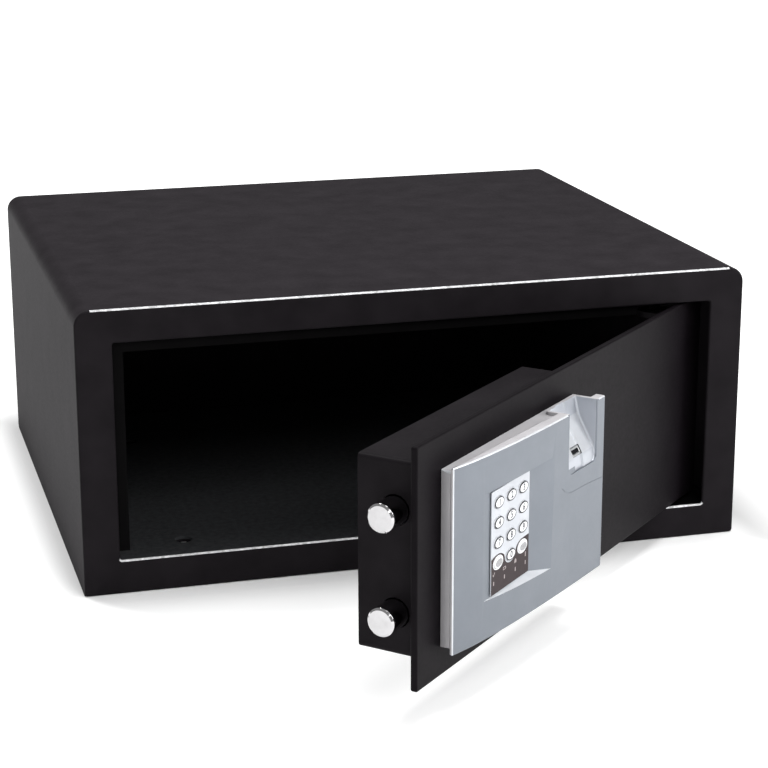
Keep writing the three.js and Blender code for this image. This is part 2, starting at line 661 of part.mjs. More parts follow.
function pinionOutline() {
  const baseRadius = pitchRadius * Math.cos(PRESSURE_ANGLE);
  const rootRadius = pitchRadius - TOOTH_DEDENDUM;
  const tipRadius = pitchRadius + TOOTH_ADDENDUM;
  const halfAtPitch = (rackPitch / 2 - TOOTH_BACKLASH) / (2 * pitchRadius);
  const halfAt = (radius) => {
    const slope = radius > baseRadius ? Math.acos(baseRadius / radius) : 0;
    return halfAtPitch + involute(PRESSURE_ANGLE) - involute(slope);
  };
  const radii = [rootRadius, baseRadius, pitchRadius, (pitchRadius + tipRadius) / 2, tipRadius];
  const outline = [];
  for (let tooth = 0; tooth < PINION_TEETH; tooth += 1) {
    const middle = Math.PI / 2 + tooth * 2 * Math.PI / PINION_TEETH;
    const place = (radius, offset) =>
      [PINION_X + radius * Math.cos(middle + offset), PINION_Z + radius * Math.sin(middle + offset)];
    radii.forEach((radius) => outline.push(place(radius, -halfAt(radius))));
    [...radii].reverse().forEach((radius) => outline.push(place(radius, halfAt(radius))));
  }
  return polygon(outline);
}

function drivePinion() {
  const gear = alongY(pinionOutline(), tongueFront, tongueBack);
  const shaftEnd = tongueBack + PINION_SHAFT.length;
  const shaft = rodY(PINION_SHAFT.radius, tongueBack - 1, shaftEnd, PINION_X, PINION_Z, 16);
  return named('drive_pinion', join(gear, shaft), brass);
}

// The bolt bar ties both bolts together, and its toothed tongue is the rack
function rackTooth(index) {
  const middle = PINION_X + (index + 0.5) * rackPitch;
  const halfThick = rackPitch / 4 - TOOTH_BACKLASH / 2;
  const lean = Math.tan(PRESSURE_ANGLE);
  const tip = rackLine - TOOTH_ADDENDUM;
  const root = rackRoot + 0.5;
  const halfTip = halfThick - TOOTH_ADDENDUM * lean;
  const halfRoot = halfThick + (root - rackLine) * lean;
  const outline = polygon([
    [middle - halfTip, tip], [middle + halfTip, tip], [middle + halfRoot, root], [middle - halfRoot, root],
  ]);
  return alongY(outline, tongueFront, tongueBack);
}

function boltBar() {
  const low = Math.min(...BOLT_HEIGHTS) - BAR_MARGIN;
  const high = Math.max(...BOLT_HEIGHTS) + BAR_MARGIN;
  const bar = box(barLeft, barRight, BOLT_DEPTH - BAR_WIDTH / 2, BOLT_DEPTH + BAR_WIDTH / 2, low, high);
  const tongue = box(
    barRight - 1, barRight + TONGUE_LENGTH, tongueFront, tongueBack, rackRoot, rackRoot + TONGUE_HEIGHT,
  );
  const firstTooth = -Math.round(BOLT_THROW / rackPitch) - 3;
  const teeth = Array.from({ length: RACK_TEETH }, (unused, step) => rackTooth(firstTooth + step));
  const halfSlot = STUD.radius + STUD.slotClearance;
  const slots = STUD.xs.map((x) => alongY(
    roundedOutline(
      x - BOLT_THROW - halfSlot, x + halfSlot, slotMiddle - halfSlot, slotMiddle + halfSlot, halfSlot - 0.01,
    ),
    tongueFront - 1, tongueBack + 1, 0, 2,
  ));
  const spigotHoles = BOLT_HEIGHTS.map((z) =>
    rodX(BOLT_SPIGOT.radius + PIN_CLEARANCE, barLeft - 1, barRight + 1, BOLT_DEPTH, z));
  return named('bolt_bar', cut(join(bar, tongue, ...teeth), ...slots, ...spigotHoles), zincPlate);
}

function bolts() {
  const end = BOLT_LENGTH + BOLT_SPIGOT.length;
  const outline = [
    [0, 0], [BOLT_RADIUS - BOLT_CHAMFER, 0], [BOLT_RADIUS, BOLT_CHAMFER], [BOLT_RADIUS, BOLT_LENGTH],
    [BOLT_SPIGOT.radius, BOLT_LENGTH], [BOLT_SPIGOT.radius, end], [0, end],
  ];
  return BOLT_HEIGHTS.map((z, index) => {
    const bolt = turned(outline, 24).rotateZ(-Math.PI / 2).translate(boltTip, BOLT_DEPTH, z);
    return named(BOLT_NAMES[index], bolt, chrome);
  });
}

function boltGuide() {
  const x0 = CASE_LEFT + CASE_WALL + GUIDE.offset;
  const low = Math.min(...BOLT_HEIGHTS) - GUIDE.margin;
  const high = Math.max(...BOLT_HEIGHTS) + GUIDE.margin;
  const plate = box(x0, x0 + GUIDE.thickness, leafBack, BOLT_DEPTH + GUIDE.width / 2, low, high);
  const foot = box(x0, x0 + GUIDE.foot, leafBack, leafBack + GUIDE.footThickness, low, high);
  const holes = BOLT_HEIGHTS.map((z) =>
    rodX(BOLT_RADIUS + PIN_CLEARANCE, x0 - 1, x0 + GUIDE.thickness + 1, BOLT_DEPTH, z, 24));
  return named('bolt_guide', cut(join(plate, foot), ...holes), zincPlate);
}

function guideStuds() {
  const headFace = tongueBack + SEAT;
  const outline = [
    [0, 0], [STUD.radius, 0], [STUD.radius, headFace - leafBack], [STUD.head, headFace - leafBack],
    [STUD.head, headFace - leafBack + STUD.headHeight], [0, headFace - leafBack + STUD.headHeight],
  ];
  return STUD.xs.map((x, index) =>
    named(`guide_stud_${index + 1}`, turned(outline, 12).translate(x, leafBack, slotMiddle), zincPlate));
}

// Fascia: a base ring on the leaf and a bulged cover with the keypad and the finger scoop.
// n is the distance in front of the leaf, so y = -n.
function fasciaPlan(backLeft, backRight, shrink) {
  const left = FASCIA.left + shrink;
  const right = FASCIA.right - shrink;
  const plan = new THREE.Shape();
  plan.moveTo(left, -backLeft);
  plan.lineTo(left, shrink - FASCIA_EDGE.left);
  plan.quadraticCurveTo(FASCIA_BULGE.x, shrink - FASCIA_BULGE.n, right, shrink - FASCIA_EDGE.right);
  plan.lineTo(right, -backRight);
  return plan;
}

const scoopFootZ = SCOOP.bottom + SCOOP.footRise;
const scoopLean = Math.atan2(SCOOP.foot - SCOOP.back, SCOOP.bend - scoopFootZ);

// The scoop's side view: a wall that leans back, a straight ramp for the finger, and an easing to the lip
function scoopProfile(deeper) {
  const eased = scoopFootZ - (SCOOP.lip - SCOOP.foot) / 2 / Math.tan(scoopLean);
  const profile = new THREE.Shape();
  profile.moveTo(-FAR, FASCIA.top + FAR);
  profile.lineTo(deeper - SCOOP.topBack, FASCIA.top + FAR);
  profile.lineTo(deeper - SCOOP.topBack, FASCIA.top);
  profile.lineTo(deeper - SCOOP.back, SCOOP.bend);
  profile.lineTo(deeper - SCOOP.foot, scoopFootZ);
  profile.quadraticCurveTo(
    deeper - (SCOOP.foot + SCOOP.lip) / 2, eased, deeper - SCOOP.lip, SCOOP.bottom,
  );
  profile.lineTo(deeper - SCOOP.lip, SCOOP.bottom - FAR);
  profile.lineTo(-FAR, SCOOP.bottom - FAR);
  return profile;
}

// The scoop is where a rounded outline, seen from the front, meets that side view
function scoop(grow) {
  const outline = roundedOutline(
    SCOOP.left - grow, SCOOP.right + grow, SCOOP.bottom - grow, FASCIA.top + FAR,
    SCOOP.round + grow, 0.5,
  );
  return common(
    alongY(outline, -FAR, 0, 0, 3),
    alongX(scoopProfile(grow), SCOOP.left - grow - 1, SCOOP.right + grow + 1, 3),
  );
}

// A shallow groove in the ramp leads the finger over the sensor
function fingerGroove() {
  const { left, right, depth } = FINGER_GROOVE;
  return cut(
    alongX(scoopProfile(depth), left, right, 3),
    box(left - PAST, right + PAST, -2 * FAR, FAR, SCOOP.bottom - 2 * FAR, SCOOP.bottom),
  );
}

function keypadRecess() {
  const floor = KEYPAD_PLANE - FOIL.thickness - SEAT;
  const right = KEY_CENTRE.x + FOIL.width / 2 + 0.9;
  const left = FASCIA.left + 5;
  const plan = polygon([
    [left, -floor], [left, -FAR], [right + KEYPAD_SLOPE.ramp, -FAR],
    [right + KEYPAD_SLOPE.ramp, -floor - KEYPAD_SLOPE.rise], [right, -floor],
  ]);
  const low = FOIL.bottom - 0.6;
  const high = FOIL.top + 0.6;
  const side = polygon([
    [-floor, low], [-floor, high], [-floor - KEYPAD_SLOPE.depth, high + KEYPAD_SLOPE.ledge / 2],
    [-FAR, high + KEYPAD_SLOPE.ledge / 2], [-FAR, low - KEYPAD_SLOPE.ledge],
    [-floor - KEYPAD_SLOPE.depth, low - KEYPAD_SLOPE.ledge],
  ]);
  return common(
    alongZ(plan, low - KEYPAD_SLOPE.ledge - 1, high + KEYPAD_SLOPE.ledge),
    alongX(side, left - 1, right + KEYPAD_SLOPE.ramp + 1),
  );
}

function keyPlaces() {
  const names = ['1', '2', '3', '4', '5', '6', '7', '8', '9', 'enter', '0', 'clear'];
  return names.map((name, index) => ({
    name: `key_${name}`,
    x: KEY_CENTRE.x + (index % 3 - 1) * KEY_PITCH.x,
    z: KEY_CENTRE.z + (1.5 - Math.floor(index / 3)) * KEY_PITCH.z,
  }));
}

const keyFloorBack = KEYPAD_PLANE - FOIL.thickness - SEAT - KEYPAD_FLOOR;
const keyHole = { width: KEY.halfWidth + KEY_CLEARANCE, height: KEY.halfHeight + KEY_CLEARANCE };

function sensorBlock(width, height, low, high) {
  const n = SCOOP.back + (SCOOP.bend - SENSOR.z) * Math.tan(scoopLean) - FINGER_GROOVE.depth;
  return box(-width / 2, width / 2, -high, -low, -height / 2, height / 2)
    .rotateX(-scoopLean)
    .translate(SENSOR.x, -n, SENSOR.z);
}

function fasciaCover() {
  const whole = alongZ(fasciaPlan(0, 0, 0), FASCIA.bottom, FASCIA.top, 14);
  const face = roundedOutline(FASCIA.left, FASCIA.right, FASCIA.bottom, FASCIA.top, FASCIA.corner);
  const lens = common(
    alongZ(fasciaPlan(FASCIA_BASE.left + SEAT, FASCIA_BASE.right + SEAT, 0), FASCIA.bottom, FASCIA.top, 14),
    alongY(face, -FAR, 0, 0, 2),
  );
  const hollow = alongZ(
    fasciaPlan(0, 0, FASCIA.skin), FASCIA.bottom + FASCIA.skin, FASCIA.top - FASCIA.skin, 14,
  );
  const keypadBlock = common(whole, box(
    KEY_CENTRE.x - FOIL.width / 2 - KEYPAD_BLOCK.left,
    KEY_CENTRE.x + FOIL.width / 2 + KEYPAD_SLOPE.ramp + KEYPAD_BLOCK.right,
    -FAR,
    -keyFloorBack,
    FOIL.bottom - KEYPAD_SLOPE.ledge - KEYPAD_BLOCK.low,
    FOIL.top + KEYPAD_SLOPE.ledge + KEYPAD_BLOCK.high,
  ));
  const tub = common(whole, scoop(SCOOP.wall));
  const keyHoles = keyPlaces().map(({ x, z }) =>
    rod(1, FAR, KEY.sides).scale(keyHole.width, 1, keyHole.height).translate(x, -FAR, z));
  const sensorPocket = sensorBlock(SENSOR.width + 2 * SEAT, SENSOR.height + 2 * SEAT, -SENSOR.depth - 1, 3);
  const shell = join(cut(lens, hollow), keypadBlock, tub);
  const cover = cut(shell, scoop(0), fingerGroove(), keypadRecess(), ...keyHoles, sensorPocket);
  return named('fascia_cover', cover, silverPlastic);
}

function fasciaBase() {
  const { left, right } = FASCIA;
  const { bottom, top, wall, corner } = FASCIA_BASE;
  const plan = polygon([
    [left, -SEAT], [left, -FASCIA_BASE.left], [right, -FASCIA_BASE.right], [right, -SEAT],
  ]);
  const block = common(
    alongZ(plan, bottom, top),
    alongY(roundedOutline(left, right, bottom, top, corner), -FAR, 0, 0, 3),
  );
  const ring = cut(block, box(left + wall, right - wall, -FAR, FAR, bottom + wall, top - wall));
  const bosses = fasciaScrewHeights.map((z) => cut(
    rodY(FASCIA_SCREW.boss, -FASCIA_SCREW.bossHeight, -SEAT, FASCIA_SCREW.x, z, 16),
    rodY(FASCIA_SCREW.radius + FIT, -FASCIA_SCREW.boreDepth, PAST, FASCIA_SCREW.x, z, 12),
  ));
  return named('fascia_base', cut(join(ring, ...bosses), scoop(SCOOP.wall + SEAT)), greyPlastic);
}

function fasciaScrews() {
  return fasciaScrewHeights.map((z, index) =>
    screw(`fascia_screw_${index + 1}`, { x: FASCIA_SCREW.x, y: leafBack, z }, FASCIA_SCREW));
}

function keypadFoil() {
  const outline = roundedOutline(
    KEY_CENTRE.x - FOIL.width / 2, KEY_CENTRE.x + FOIL.width / 2, FOIL.bottom, FOIL.top, 1,
  );
  keyPlaces().forEach(({ x, z }) =>
    outline.holes.push(ovalHole(x, z, keyHole.width, keyHole.height, KEY.sides)));
  const foil = alongY(outline, -KEYPAD_PLANE, FOIL.thickness - KEYPAD_PLANE, 0, 1);
  return named('keypad_foil', foil, foilPlastic);
}

function keys() {
  const flangeBack = keyFloorBack - FIT - KEY_FLANGE.thickness;
  const flangeFront = keyFloorBack - FIT;
  const face = KEYPAD_PLANE + KEY_PROUD;
  const outline = [
    [0, -face], [KEY.halfWidth - KEY.edge, -face], [KEY.halfWidth, KEY.edgeDrop - face],
    [KEY.halfWidth, -flangeFront], [KEY.halfWidth + KEY_FLANGE.reach, -flangeFront],
    [KEY.halfWidth + KEY_FLANGE.reach, -flangeBack], [0, -flangeBack],
  ];
  const flatten = KEY.halfHeight / KEY.halfWidth;
  return keyPlaces().map(({ name, x, z }) => {
    const key = turned(outline, KEY.sides).scale(1, 1, flatten).translate(x, 0, z);
    return named(name, key, whitePlastic);
  });
}

function keypadBoard() {
  const face = keyFloorBack - FIT - KEY_FLANGE.thickness - KEY_TRAVEL - FIT;
  const x0 = KEY_CENTRE.x - FOIL.width / 2 - KEY_BOARD.margin;
  const x1 = KEY_CENTRE.x + FOIL.width / 2 + KEY_BOARD.margin;
  const z0 = FOIL.bottom - KEY_BOARD.margin;
  const z1 = FOIL.top + KEY_BOARD.margin;
  const board = box(x0, x1, -face, KEY_BOARD.thickness - face, z0, z1);
  const { inset } = KEY_BOARD;
  const spacers = [x0 + inset, x1 - inset].flatMap((x) => [z0 + inset, z1 - inset].map((z) =>
    rodY(KEY_BOARD.spacer, -keyFloorBack + SEAT, KEY_BOARD.thickness / 2 - face, x, z, 12)));
  return named('keypad_board', join(board, ...spacers), boardGreen);
}

function fingerSensor() {
  const slot = { width: SENSOR.window + 2 * FIT, height: SENSOR.windowHeight + 2 * FIT };
  const frame = cut(
    sensorBlock(SENSOR.width, SENSOR.height, SEAT - SENSOR.depth, SEAT),
    sensorBlock(slot.width, slot.height, -SENSOR.windowDepth, 5),
  );
  const glass = sensorBlock(SENSOR.window, SENSOR.windowHeight, FIT - SENSOR.windowDepth, FIT);
  return [named('sensor_frame', frame, zincPlate), named('sensor_window', glass, blackPlastic)];
}

function door() {
  const leaf = new THREE.Group();
  leaf.position.set(-pivotAlong, -PIVOT_DEPTH, 0);
  leaf.add(doorPlate(), hingeStrap(), lockCase(), ...caseScrews(), batteryLid(), lidScrew());
  leaf.add(batteryHolder(), ...cells(), circuitBoard());
  leaf.add(boltGuide(), ...guideStuds(), gearbox(), driveMotor(), drivePinion(), boltBar(), ...bolts());
  leaf.add(fasciaBase(), fasciaCover(), ...fasciaScrews(), keypadFoil(), ...keys(), keypadBoard());
  leaf.add(...fingerSensor());
  const turning = new THREE.Group();
  turning.position.set(pivotX, pivotY, 0);
  turning.rotation.z = DOOR_REST;
  turning.add(leaf);
  return turning;
}

const laptopSafe = new THREE.Group();
laptopSafe.add(cabinet(), door());

export default laptopSafe;
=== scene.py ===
"""The look of a laptop safe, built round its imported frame.

Lengths are in millimetres and become metres when a mesh is made. Camera, lamps and floor are in metres.
+Z is up and the front faces -Y. Pieces of the door are made in the leaf's own frame: x along it from its
free edge, y into the cabinet, z up.
"""

import json
import math
from types import SimpleNamespace as Sizes

import bmesh
import bpy
from mathutils import Matrix, Vector


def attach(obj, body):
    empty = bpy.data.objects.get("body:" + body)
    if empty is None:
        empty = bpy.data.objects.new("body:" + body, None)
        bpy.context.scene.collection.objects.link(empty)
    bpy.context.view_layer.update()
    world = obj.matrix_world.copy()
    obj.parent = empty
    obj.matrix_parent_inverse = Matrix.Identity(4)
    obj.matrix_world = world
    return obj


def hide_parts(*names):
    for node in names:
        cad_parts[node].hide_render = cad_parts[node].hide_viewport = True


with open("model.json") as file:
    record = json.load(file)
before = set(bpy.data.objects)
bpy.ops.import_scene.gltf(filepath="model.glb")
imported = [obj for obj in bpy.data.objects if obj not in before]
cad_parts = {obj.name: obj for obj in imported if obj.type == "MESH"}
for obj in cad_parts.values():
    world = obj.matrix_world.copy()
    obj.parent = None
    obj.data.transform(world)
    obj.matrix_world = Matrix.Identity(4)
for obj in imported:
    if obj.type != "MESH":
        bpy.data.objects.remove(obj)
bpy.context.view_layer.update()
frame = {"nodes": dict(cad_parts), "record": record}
MM = 0.001

# Cabinet
WIDTH, DEPTH, HEIGHT = 430.0, 370.0, 180.0
SHEET = 2.0
BEND = 10.0
BEND_STEPS = 14
LOWER_CORNER = 2.0
FRONT_EDGE, BACK_EDGE = 1.35, 0.9
FRAME_BACK = -DEPTH / 2 + SHEET
BACK_INNER = DEPTH / 2 - SHEET
OPENING = (-192.5, 192.5, 21.5, 159.0)
OPENING_CORNER = 1.5
BASE_ANCHOR = (140.0, 110.0)
BACK_ANCHOR = (120.0, 60.0)
ANCHOR_RADIUS = 5.5
MAT = Sizes(x=207.0, y0=-179.0, y1=179.0, z=2.0, thick=2.0, corner=1.5, edge=0.7)

# Door
LEAF_ANGLE = math.radians(44.35)
PIVOT = (162.3, -163.0)
PIVOT_ALONG, PIVOT_DEPTH = 352.6, 22.0
LEAF = Sizes(width=380.6, bottom=23.0, top=157.5, thick=4.0, round=1.0)
CABLE_HOLE = Sizes(height=90.0, radius=6.0)
PILLAR = Sizes(radius=4.0, bore=2.1, mouth=37.2, bore_end=25.2, root=3.5)
PILLAR_PLACES = [(14.5, 46.5), (14.5, 139.5), (193.0, 46.5), (193.0, 139.5)]
BOLT = Sizes(
    radius=8.0, tip=-9.6, length=49.3, depth=16.5, spigot=4.0, spigot_length=6.3,
    chamfer=0.95, face_round=0.25, side_round=0.35,
)
BOLT_HEIGHTS = {"bolt_lower": 62.5, "bolt_upper": 119.5}

# Fascia; n is the distance in front of the leaf
FASCIA = Sizes(
    left=24.0, right=186.0, bottom=36.5, top=141.0, skin=2.4, plan_round=1.3, left_round=0.9, edge=1.1,
)
EDGE_N = Sizes(left=8.0, right=20.2)
BULGE = (62.0, 17.9)
BASE_N = Sizes(left=6.3, right=13.7)
BASE_Z = (40.0, 139.0)
BASE_WALL, BASE_CORNER, BASE_CROWN = 2.5, 2.0, 1.1
SEAT = 0.3
SCREW_X, SCREW_HEIGHTS = 110.0, (46.0, 133.0)
BOSS = Sizes(radius=4.2, bore=1.8, mouth=-SEAT, bore_end=-8.0, root=-9.0)
SCOOP = Sizes(
    left=141.0, right=175.5, bottom=104.6, top_back=5.6, back=7.5, bend=131.0, bend_half=1.2, foot=17.4,
    foot_rise=8.4, lip=18.8, wall=1.8, round=4.0, back_round=1.6, lip_round=0.7,
)
SCOOP_FOOT = SCOOP.bottom + SCOOP.foot_rise
LEAN = math.atan2(SCOOP.foot - SCOOP.back, SCOOP.bend - SCOOP_FOOT)
GROOVE = Sizes(left=150.0, right=161.3, depth=0.9, slope=0.8)
SEAM = [(133.0, 99.5), (137.5, 96.0), (142.0, 94.4), (147.6, 93.9), (165.0, 93.5), (187.0, 91.8)]
SEAM_HALF, SEAM_DEPTH, SEAM_BACK = 0.13, 0.2, 12.0
SENSOR = Sizes(x=155.6, z=114.7, width=10.6, height=5.1, window=8.4, window_height=2.2, gap=0.2)
POCKET = (-3.0, 4.5)

# Keypad
KEY_CENTRE = (79.5, 94.2)
KEY_PITCH = (14.5, 11.4)
KEY_HALF = (5.1, 3.1)
KEY_GAP, KEY_PROUD = 0.25, 0.7
KEY = Sizes(
    edge=0.45, crown=0.12, flange=1.0, ring=(5.13, 3.13), ring_width=0.62, oval=(3.9, 2.2),
    halo=(5.95, 3.95), halo_width=0.57,
)
FIGURE = Sizes(size=5.2, depth=0.05, bolder=0.11)
KEY_NAMES = ["1", "2", "3", "4", "5", "6", "7", "8", "9", "enter", "0", "clear"]
SIDE_KEYS = ("enter", "clear")
KEYPAD_N = 13.6
FOIL = Sizes(width=45.0, bottom=59.9, top=118.7, thick=0.6, corner=1.0, edge=0.12)
FLOOR_N = KEYPAD_N - FOIL.thick - SEAT
FLOOR_THICK = 1.7
FLOOR_BACK_N = FLOOR_N - FLOOR_THICK
RECESS = Sizes(
    inset=5.0, room=0.6, right_room=0.9, ramp=18.6, ramp_rise=5.6, slope_rise=6.3,
    slope_up=2.0, slope_down=4.0,
)
BLOCK = Sizes(left=7.0, right=21.6, below=7.0, above=5.0)
PRINT_N = KEYPAD_N + 0.05
PRINT_MARGIN = 0.15
DARK_TOP = 81.8

# The dark print's upper edge: offsets from the foil's left and right sides, and beside the nought
LEFT_SHOULDER = [(2.5, -0.5), (5.5, 0.0), (9.5, 0.0), (12.5, -0.8)]
RIGHT_SHOULDER = [(12.5, -0.8), (9.5, 0.0)]
LEFT_DROP, RIGHT_LIFT = -1.3, 0.3
DIP_END = (7.6, -2.2)
DIP = Sizes(wide=6.5, high=4.8, lift=0.4, steps=28)

# Signs over the lamp windows
SIGN_Z = 71.3
WINDOW = Sizes(half=0.5, low=65.2, high=67.6, corner=0.45)
SIGN_X = {"tick": 60.0, "cell": 72.8, "lock": 85.8, "bar": 98.0}

# Surroundings
CAMERA = Sizes(azimuth=15.58, elevation=16.01, roll=-0.12, place=(-0.3655, -1.4069, 0.4848))
LENS, FILM_WIDTH = 99.85, 36
ROOM_LIGHT = 0.37

# Each lamp's place, what it points at, its size and its power
LAMPS = {
    "overhead": ((0.3, -0.45, 1.65), (0, -0.15, 0.05), (1.3, 0.5), 13),
    "front": ((0.25, -1.6, 1.2), (0, -0.2, 0.05), (1.0, 0.6), 10),
    "left_back": ((-0.6, 0.45, 1.9), (0, -0.2, 0.05), (0.35, 0.35), 18),
    "right": ((1.3, -0.75, 0.7), (0.05, -0.32, 0.12), (0.6, 0.5), 12),
}

# FAR is in front of the whole fascia, PAST is beyond what is cut, and HAIR is a small slack
FAR = 40.0
PAST = 1.0
HAIR = 0.05

LEAF_FRAME = (
    Matrix.Translation((PIVOT[0] * MM, PIVOT[1] * MM, 0))
    @ Matrix.Rotation(LEAF_ANGLE, 4, "Z")
    @ Matrix.Translation((-PIVOT_ALONG * MM, -PIVOT_DEPTH * MM, 0))
)


# Materials
def cleared(owner):
    """The emptied node tree of a material or a world."""
    owner.use_nodes = True
    owner.node_tree.nodes.clear()
    return owner.node_tree


class Nodes:
    """A material's node tree, built call by call."""

    def __init__(self, name):
        self.material = bpy.data.materials.new(name)
        self.tree = cleared(self.material)
        output = self.add("ShaderNodeOutputMaterial")
        self.shader = self.add("ShaderNodeBsdfPrincipled")
        self.link(self.shader.outputs[0], output.inputs["Surface"])
        self.place = self.add("ShaderNodeTexCoord").outputs["Object"]

    def add(self, kind):
        return self.tree.nodes.new(kind)

    def link(self, a, b):
        self.tree.links.new(a, b)

    def noise(self, scale, detail=2.0, rough=0.5):
        node = self.add("ShaderNodeTexNoise")
        node.inputs["Scale"].default_value = scale
        node.inputs["Detail"].default_value = detail
        node.inputs["Roughness"].default_value = rough
        self.link(self.place, node.inputs["Vector"])
        return node.outputs["Fac"]

    def blend(self, value, dark, light):
        """A colour from dark to light, over the middle of the value's range."""
        node = self.add("ShaderNodeValToRGB")
        for element, at, colour in zip(node.color_ramp.elements, (0.3, 0.7), (dark, light)):
            element.position = at
            element.color = (*colour, 1)
        self.link(value, node.inputs["Fac"])
        return node.outputs["Color"]

    def spread(self, value, low, high):
        node = self.add("ShaderNodeMapRange")
        node.inputs["To Min"].default_value = low
        node.inputs["To Max"].default_value = high
        self.link(value, node.inputs["Value"])
        return node.outputs["Result"]

    def bump(self, height, strength, distance):
        node = self.add("ShaderNodeBump")
        node.inputs["Strength"].default_value = strength
        node.inputs["Distance"].default_value = distance
        self.link(height, node.inputs["Height"])
        self.link(node.outputs["Normal"], self.shader.inputs["Normal"])


def finish(name, dark, light, rough, scale, grain, metallic=0.0, specular=0.5):
    """A colour that varies softly from dark to light, a varied roughness, and a fine bump.

    rough is the least and the most roughness. grain is the bump's noise scale, strength and depth.
    """
    made = Nodes(name)
    inputs = made.shader.inputs
    finer = 9
    made.link(made.blend(made.noise(scale, 3.0, 0.6), dark, light), inputs["Base Color"])
    made.link(made.spread(made.noise(scale * finer), *rough), inputs["Roughness"])
    inputs["Metallic"].default_value = metallic
    inputs["Specular IOR Level"].default_value = specular
    grain_scale, strength, depth = grain
    made.bump(made.noise(grain_scale), strength, depth * MM)
    return made.material


def paint(name, dark, light, specular, rough=(0.42, 0.55)):
    """A powder coat with its fine texture."""
    return finish(name, dark, light, rough, 45, (1500, 0.35, 0.05), specular=specular)


def silver(name, dark, light, rough, metallic, scale=40, strength=0.1):
    """A silver lacquer on plastic."""
    return finish(name, dark, light, rough, scale, (2600, strength, 0.02), metallic)


def ink(name, dark, light, scale=200, specular=0.5):
    """A matt print."""
    return finish(name, dark, light, (0.4, 0.5), scale, (2000, 0.05, 0.01), specular=specular)


MATERIALS = {
    "black_paint": paint("powder_coat", (0.0092, 0.0078, 0.0092), (0.0135, 0.0116, 0.0135), 0.04),
    # A lighter copy of the black coat for the bent sheet: painted light on its top and sides.
    "shell_painted_light": paint("shell_coat_painted_light", (0.0165, 0.0142, 0.0165), (0.0235, 0.0205, 0.0235), 0.012),
    # A darker copy of the black coat: painted shade for the metal inside the cabinet.
    "inner_painted_shade": paint("inner_coat_painted_shade", (0.0022, 0.002, 0.0022), (0.003, 0.0028, 0.003), 0.02, (0.5, 0.6)),
    # A darker copy of the black coat for the leaf: painted shade.
    "leaf_painted_shade": paint("leaf_coat_painted_shade", (0.0042, 0.0031, 0.0042), (0.0062, 0.0048, 0.0062), 0.05),
    # A pale grainy coat for the edges that look up: a painted highlight.
    "edge_painted_highlight": finish(
        "edge_painted_highlight", (0.36, 0.36, 0.365), (0.92, 0.92, 0.94), (0.3, 0.5), 420, (1500, 0.35, 0.05)),
    "zinc_plate": finish(
        "zinc_plate", (0.45, 0.46, 0.47), (0.6, 0.61, 0.62), (0.28, 0.44), 90, (900, 0.1, 0.03),
        metallic=1.0),
    "chrome": finish(
        "polished_plating", (0.46, 0.455, 0.46), (0.54, 0.535, 0.545), (0.06, 0.12), 120, (400, 0.04, 0.02),
        metallic=1.0),
    "brass": finish(
        "machined_brass", (0.52, 0.38, 0.14), (0.68, 0.51, 0.22), (0.24, 0.38), 80, (700, 0.1, 0.03),
        metallic=1.0),
    "silver_plastic": silver("silver_paint", (0.174, 0.191, 0.216), (0.191, 0.208, 0.234), (0.38, 0.46), 0.7),
    # Lighter copies of the silver for the scoop's walls and its ramp: painted light and a painted highlight.
    "silver_painted_light": silver("silver_painted_light", (0.43, 0.45, 0.49), (0.47, 0.49, 0.53), (0.36, 0.44), 0.6),
    "silver_painted_highlight": silver(
        "silver_painted_highlight", (0.47, 0.485, 0.515), (0.54, 0.555, 0.585), (0.34, 0.42), 0.5, strength=0.08),
    # A pale silver for a painted highlight along edges and ledges that catch the light.
    "silver_edge_painted_highlight": silver("silver_edge_painted_highlight", (0.62, 0.64, 0.67), (0.74, 0.76, 0.79), (0.3, 0.4), 0.35, 60, 0.08),
    "grey_plastic": finish(
        "grey_moulding", (0.42, 0.41, 0.425), (0.49, 0.48, 0.495), (0.4, 0.52), 50, (1800, 0.15, 0.03)),
    "black_plastic": finish(
        "black_moulding", (0.009, 0.009, 0.01), (0.014, 0.014, 0.015), (0.32, 0.46), 70, (1600, 0.2, 0.03)),
    "sensor_glass": finish(
        "sensor_glass", (0.004, 0.004, 0.005), (0.008, 0.008, 0.01), (0.2, 0.3), 200, (800, 0.03, 0.01),
        specular=0.1),
    "key_white": finish(
        "white_key", (0.86, 0.87, 0.9), (0.92, 0.93, 0.95), (0.25, 0.34), 150, (2000, 0.05, 0.01)),
    "keypad_foil": finish(
        "light_foil", (0.5, 0.52, 0.56), (0.58, 0.6, 0.64), (0.3, 0.4), 70, (2400, 0.08, 0.01)),
    "dark_print": finish(
        "dark_print", (0.018, 0.0085, 0.01), (0.024, 0.0115, 0.0135), (0.34, 0.44), 90, (2400, 0.06, 0.01),
        specular=0.14),
    # Grey print for the figures, also used as painted shade on the number keys' rounded edges.
    "grey_print_and_painted_shade": ink("grey_print_and_painted_shade", (0.035, 0.036, 0.04), (0.05, 0.052, 0.058), specular=0.2),
    "mid_print": ink("mid_print", (0.25, 0.25, 0.26), (0.42, 0.42, 0.43), 900),
    "pale_print": ink("pale_print", (0.3, 0.25, 0.25), (0.38, 0.33, 0.33)),
    "board_green": finish(
        "solder_mask", (0.012, 0.075, 0.035), (0.02, 0.11, 0.05), (0.3, 0.42), 300, (1200, 0.2, 0.03)),
    "nylon": finish(
        "nylon", (0.62, 0.6, 0.52), (0.7, 0.68, 0.6), (0.42, 0.55), 120, (900, 0.1, 0.03)),
    "felt": finish(
        "felt", (0.016, 0.017, 0.019), (0.04, 0.042, 0.046), (0.88, 0.98), 260, (1900, 0.9, 0.35)),
    "cell_sleeve": finish(
        "cell_sleeve", (0.03, 0.035, 0.045), (0.05, 0.058, 0.07), (0.26, 0.36), 60, (800, 0.05, 0.02)),
}
SLOT_OF = {row["node"]: row["material_slot"] for row in frame["record"]["subparts"]}
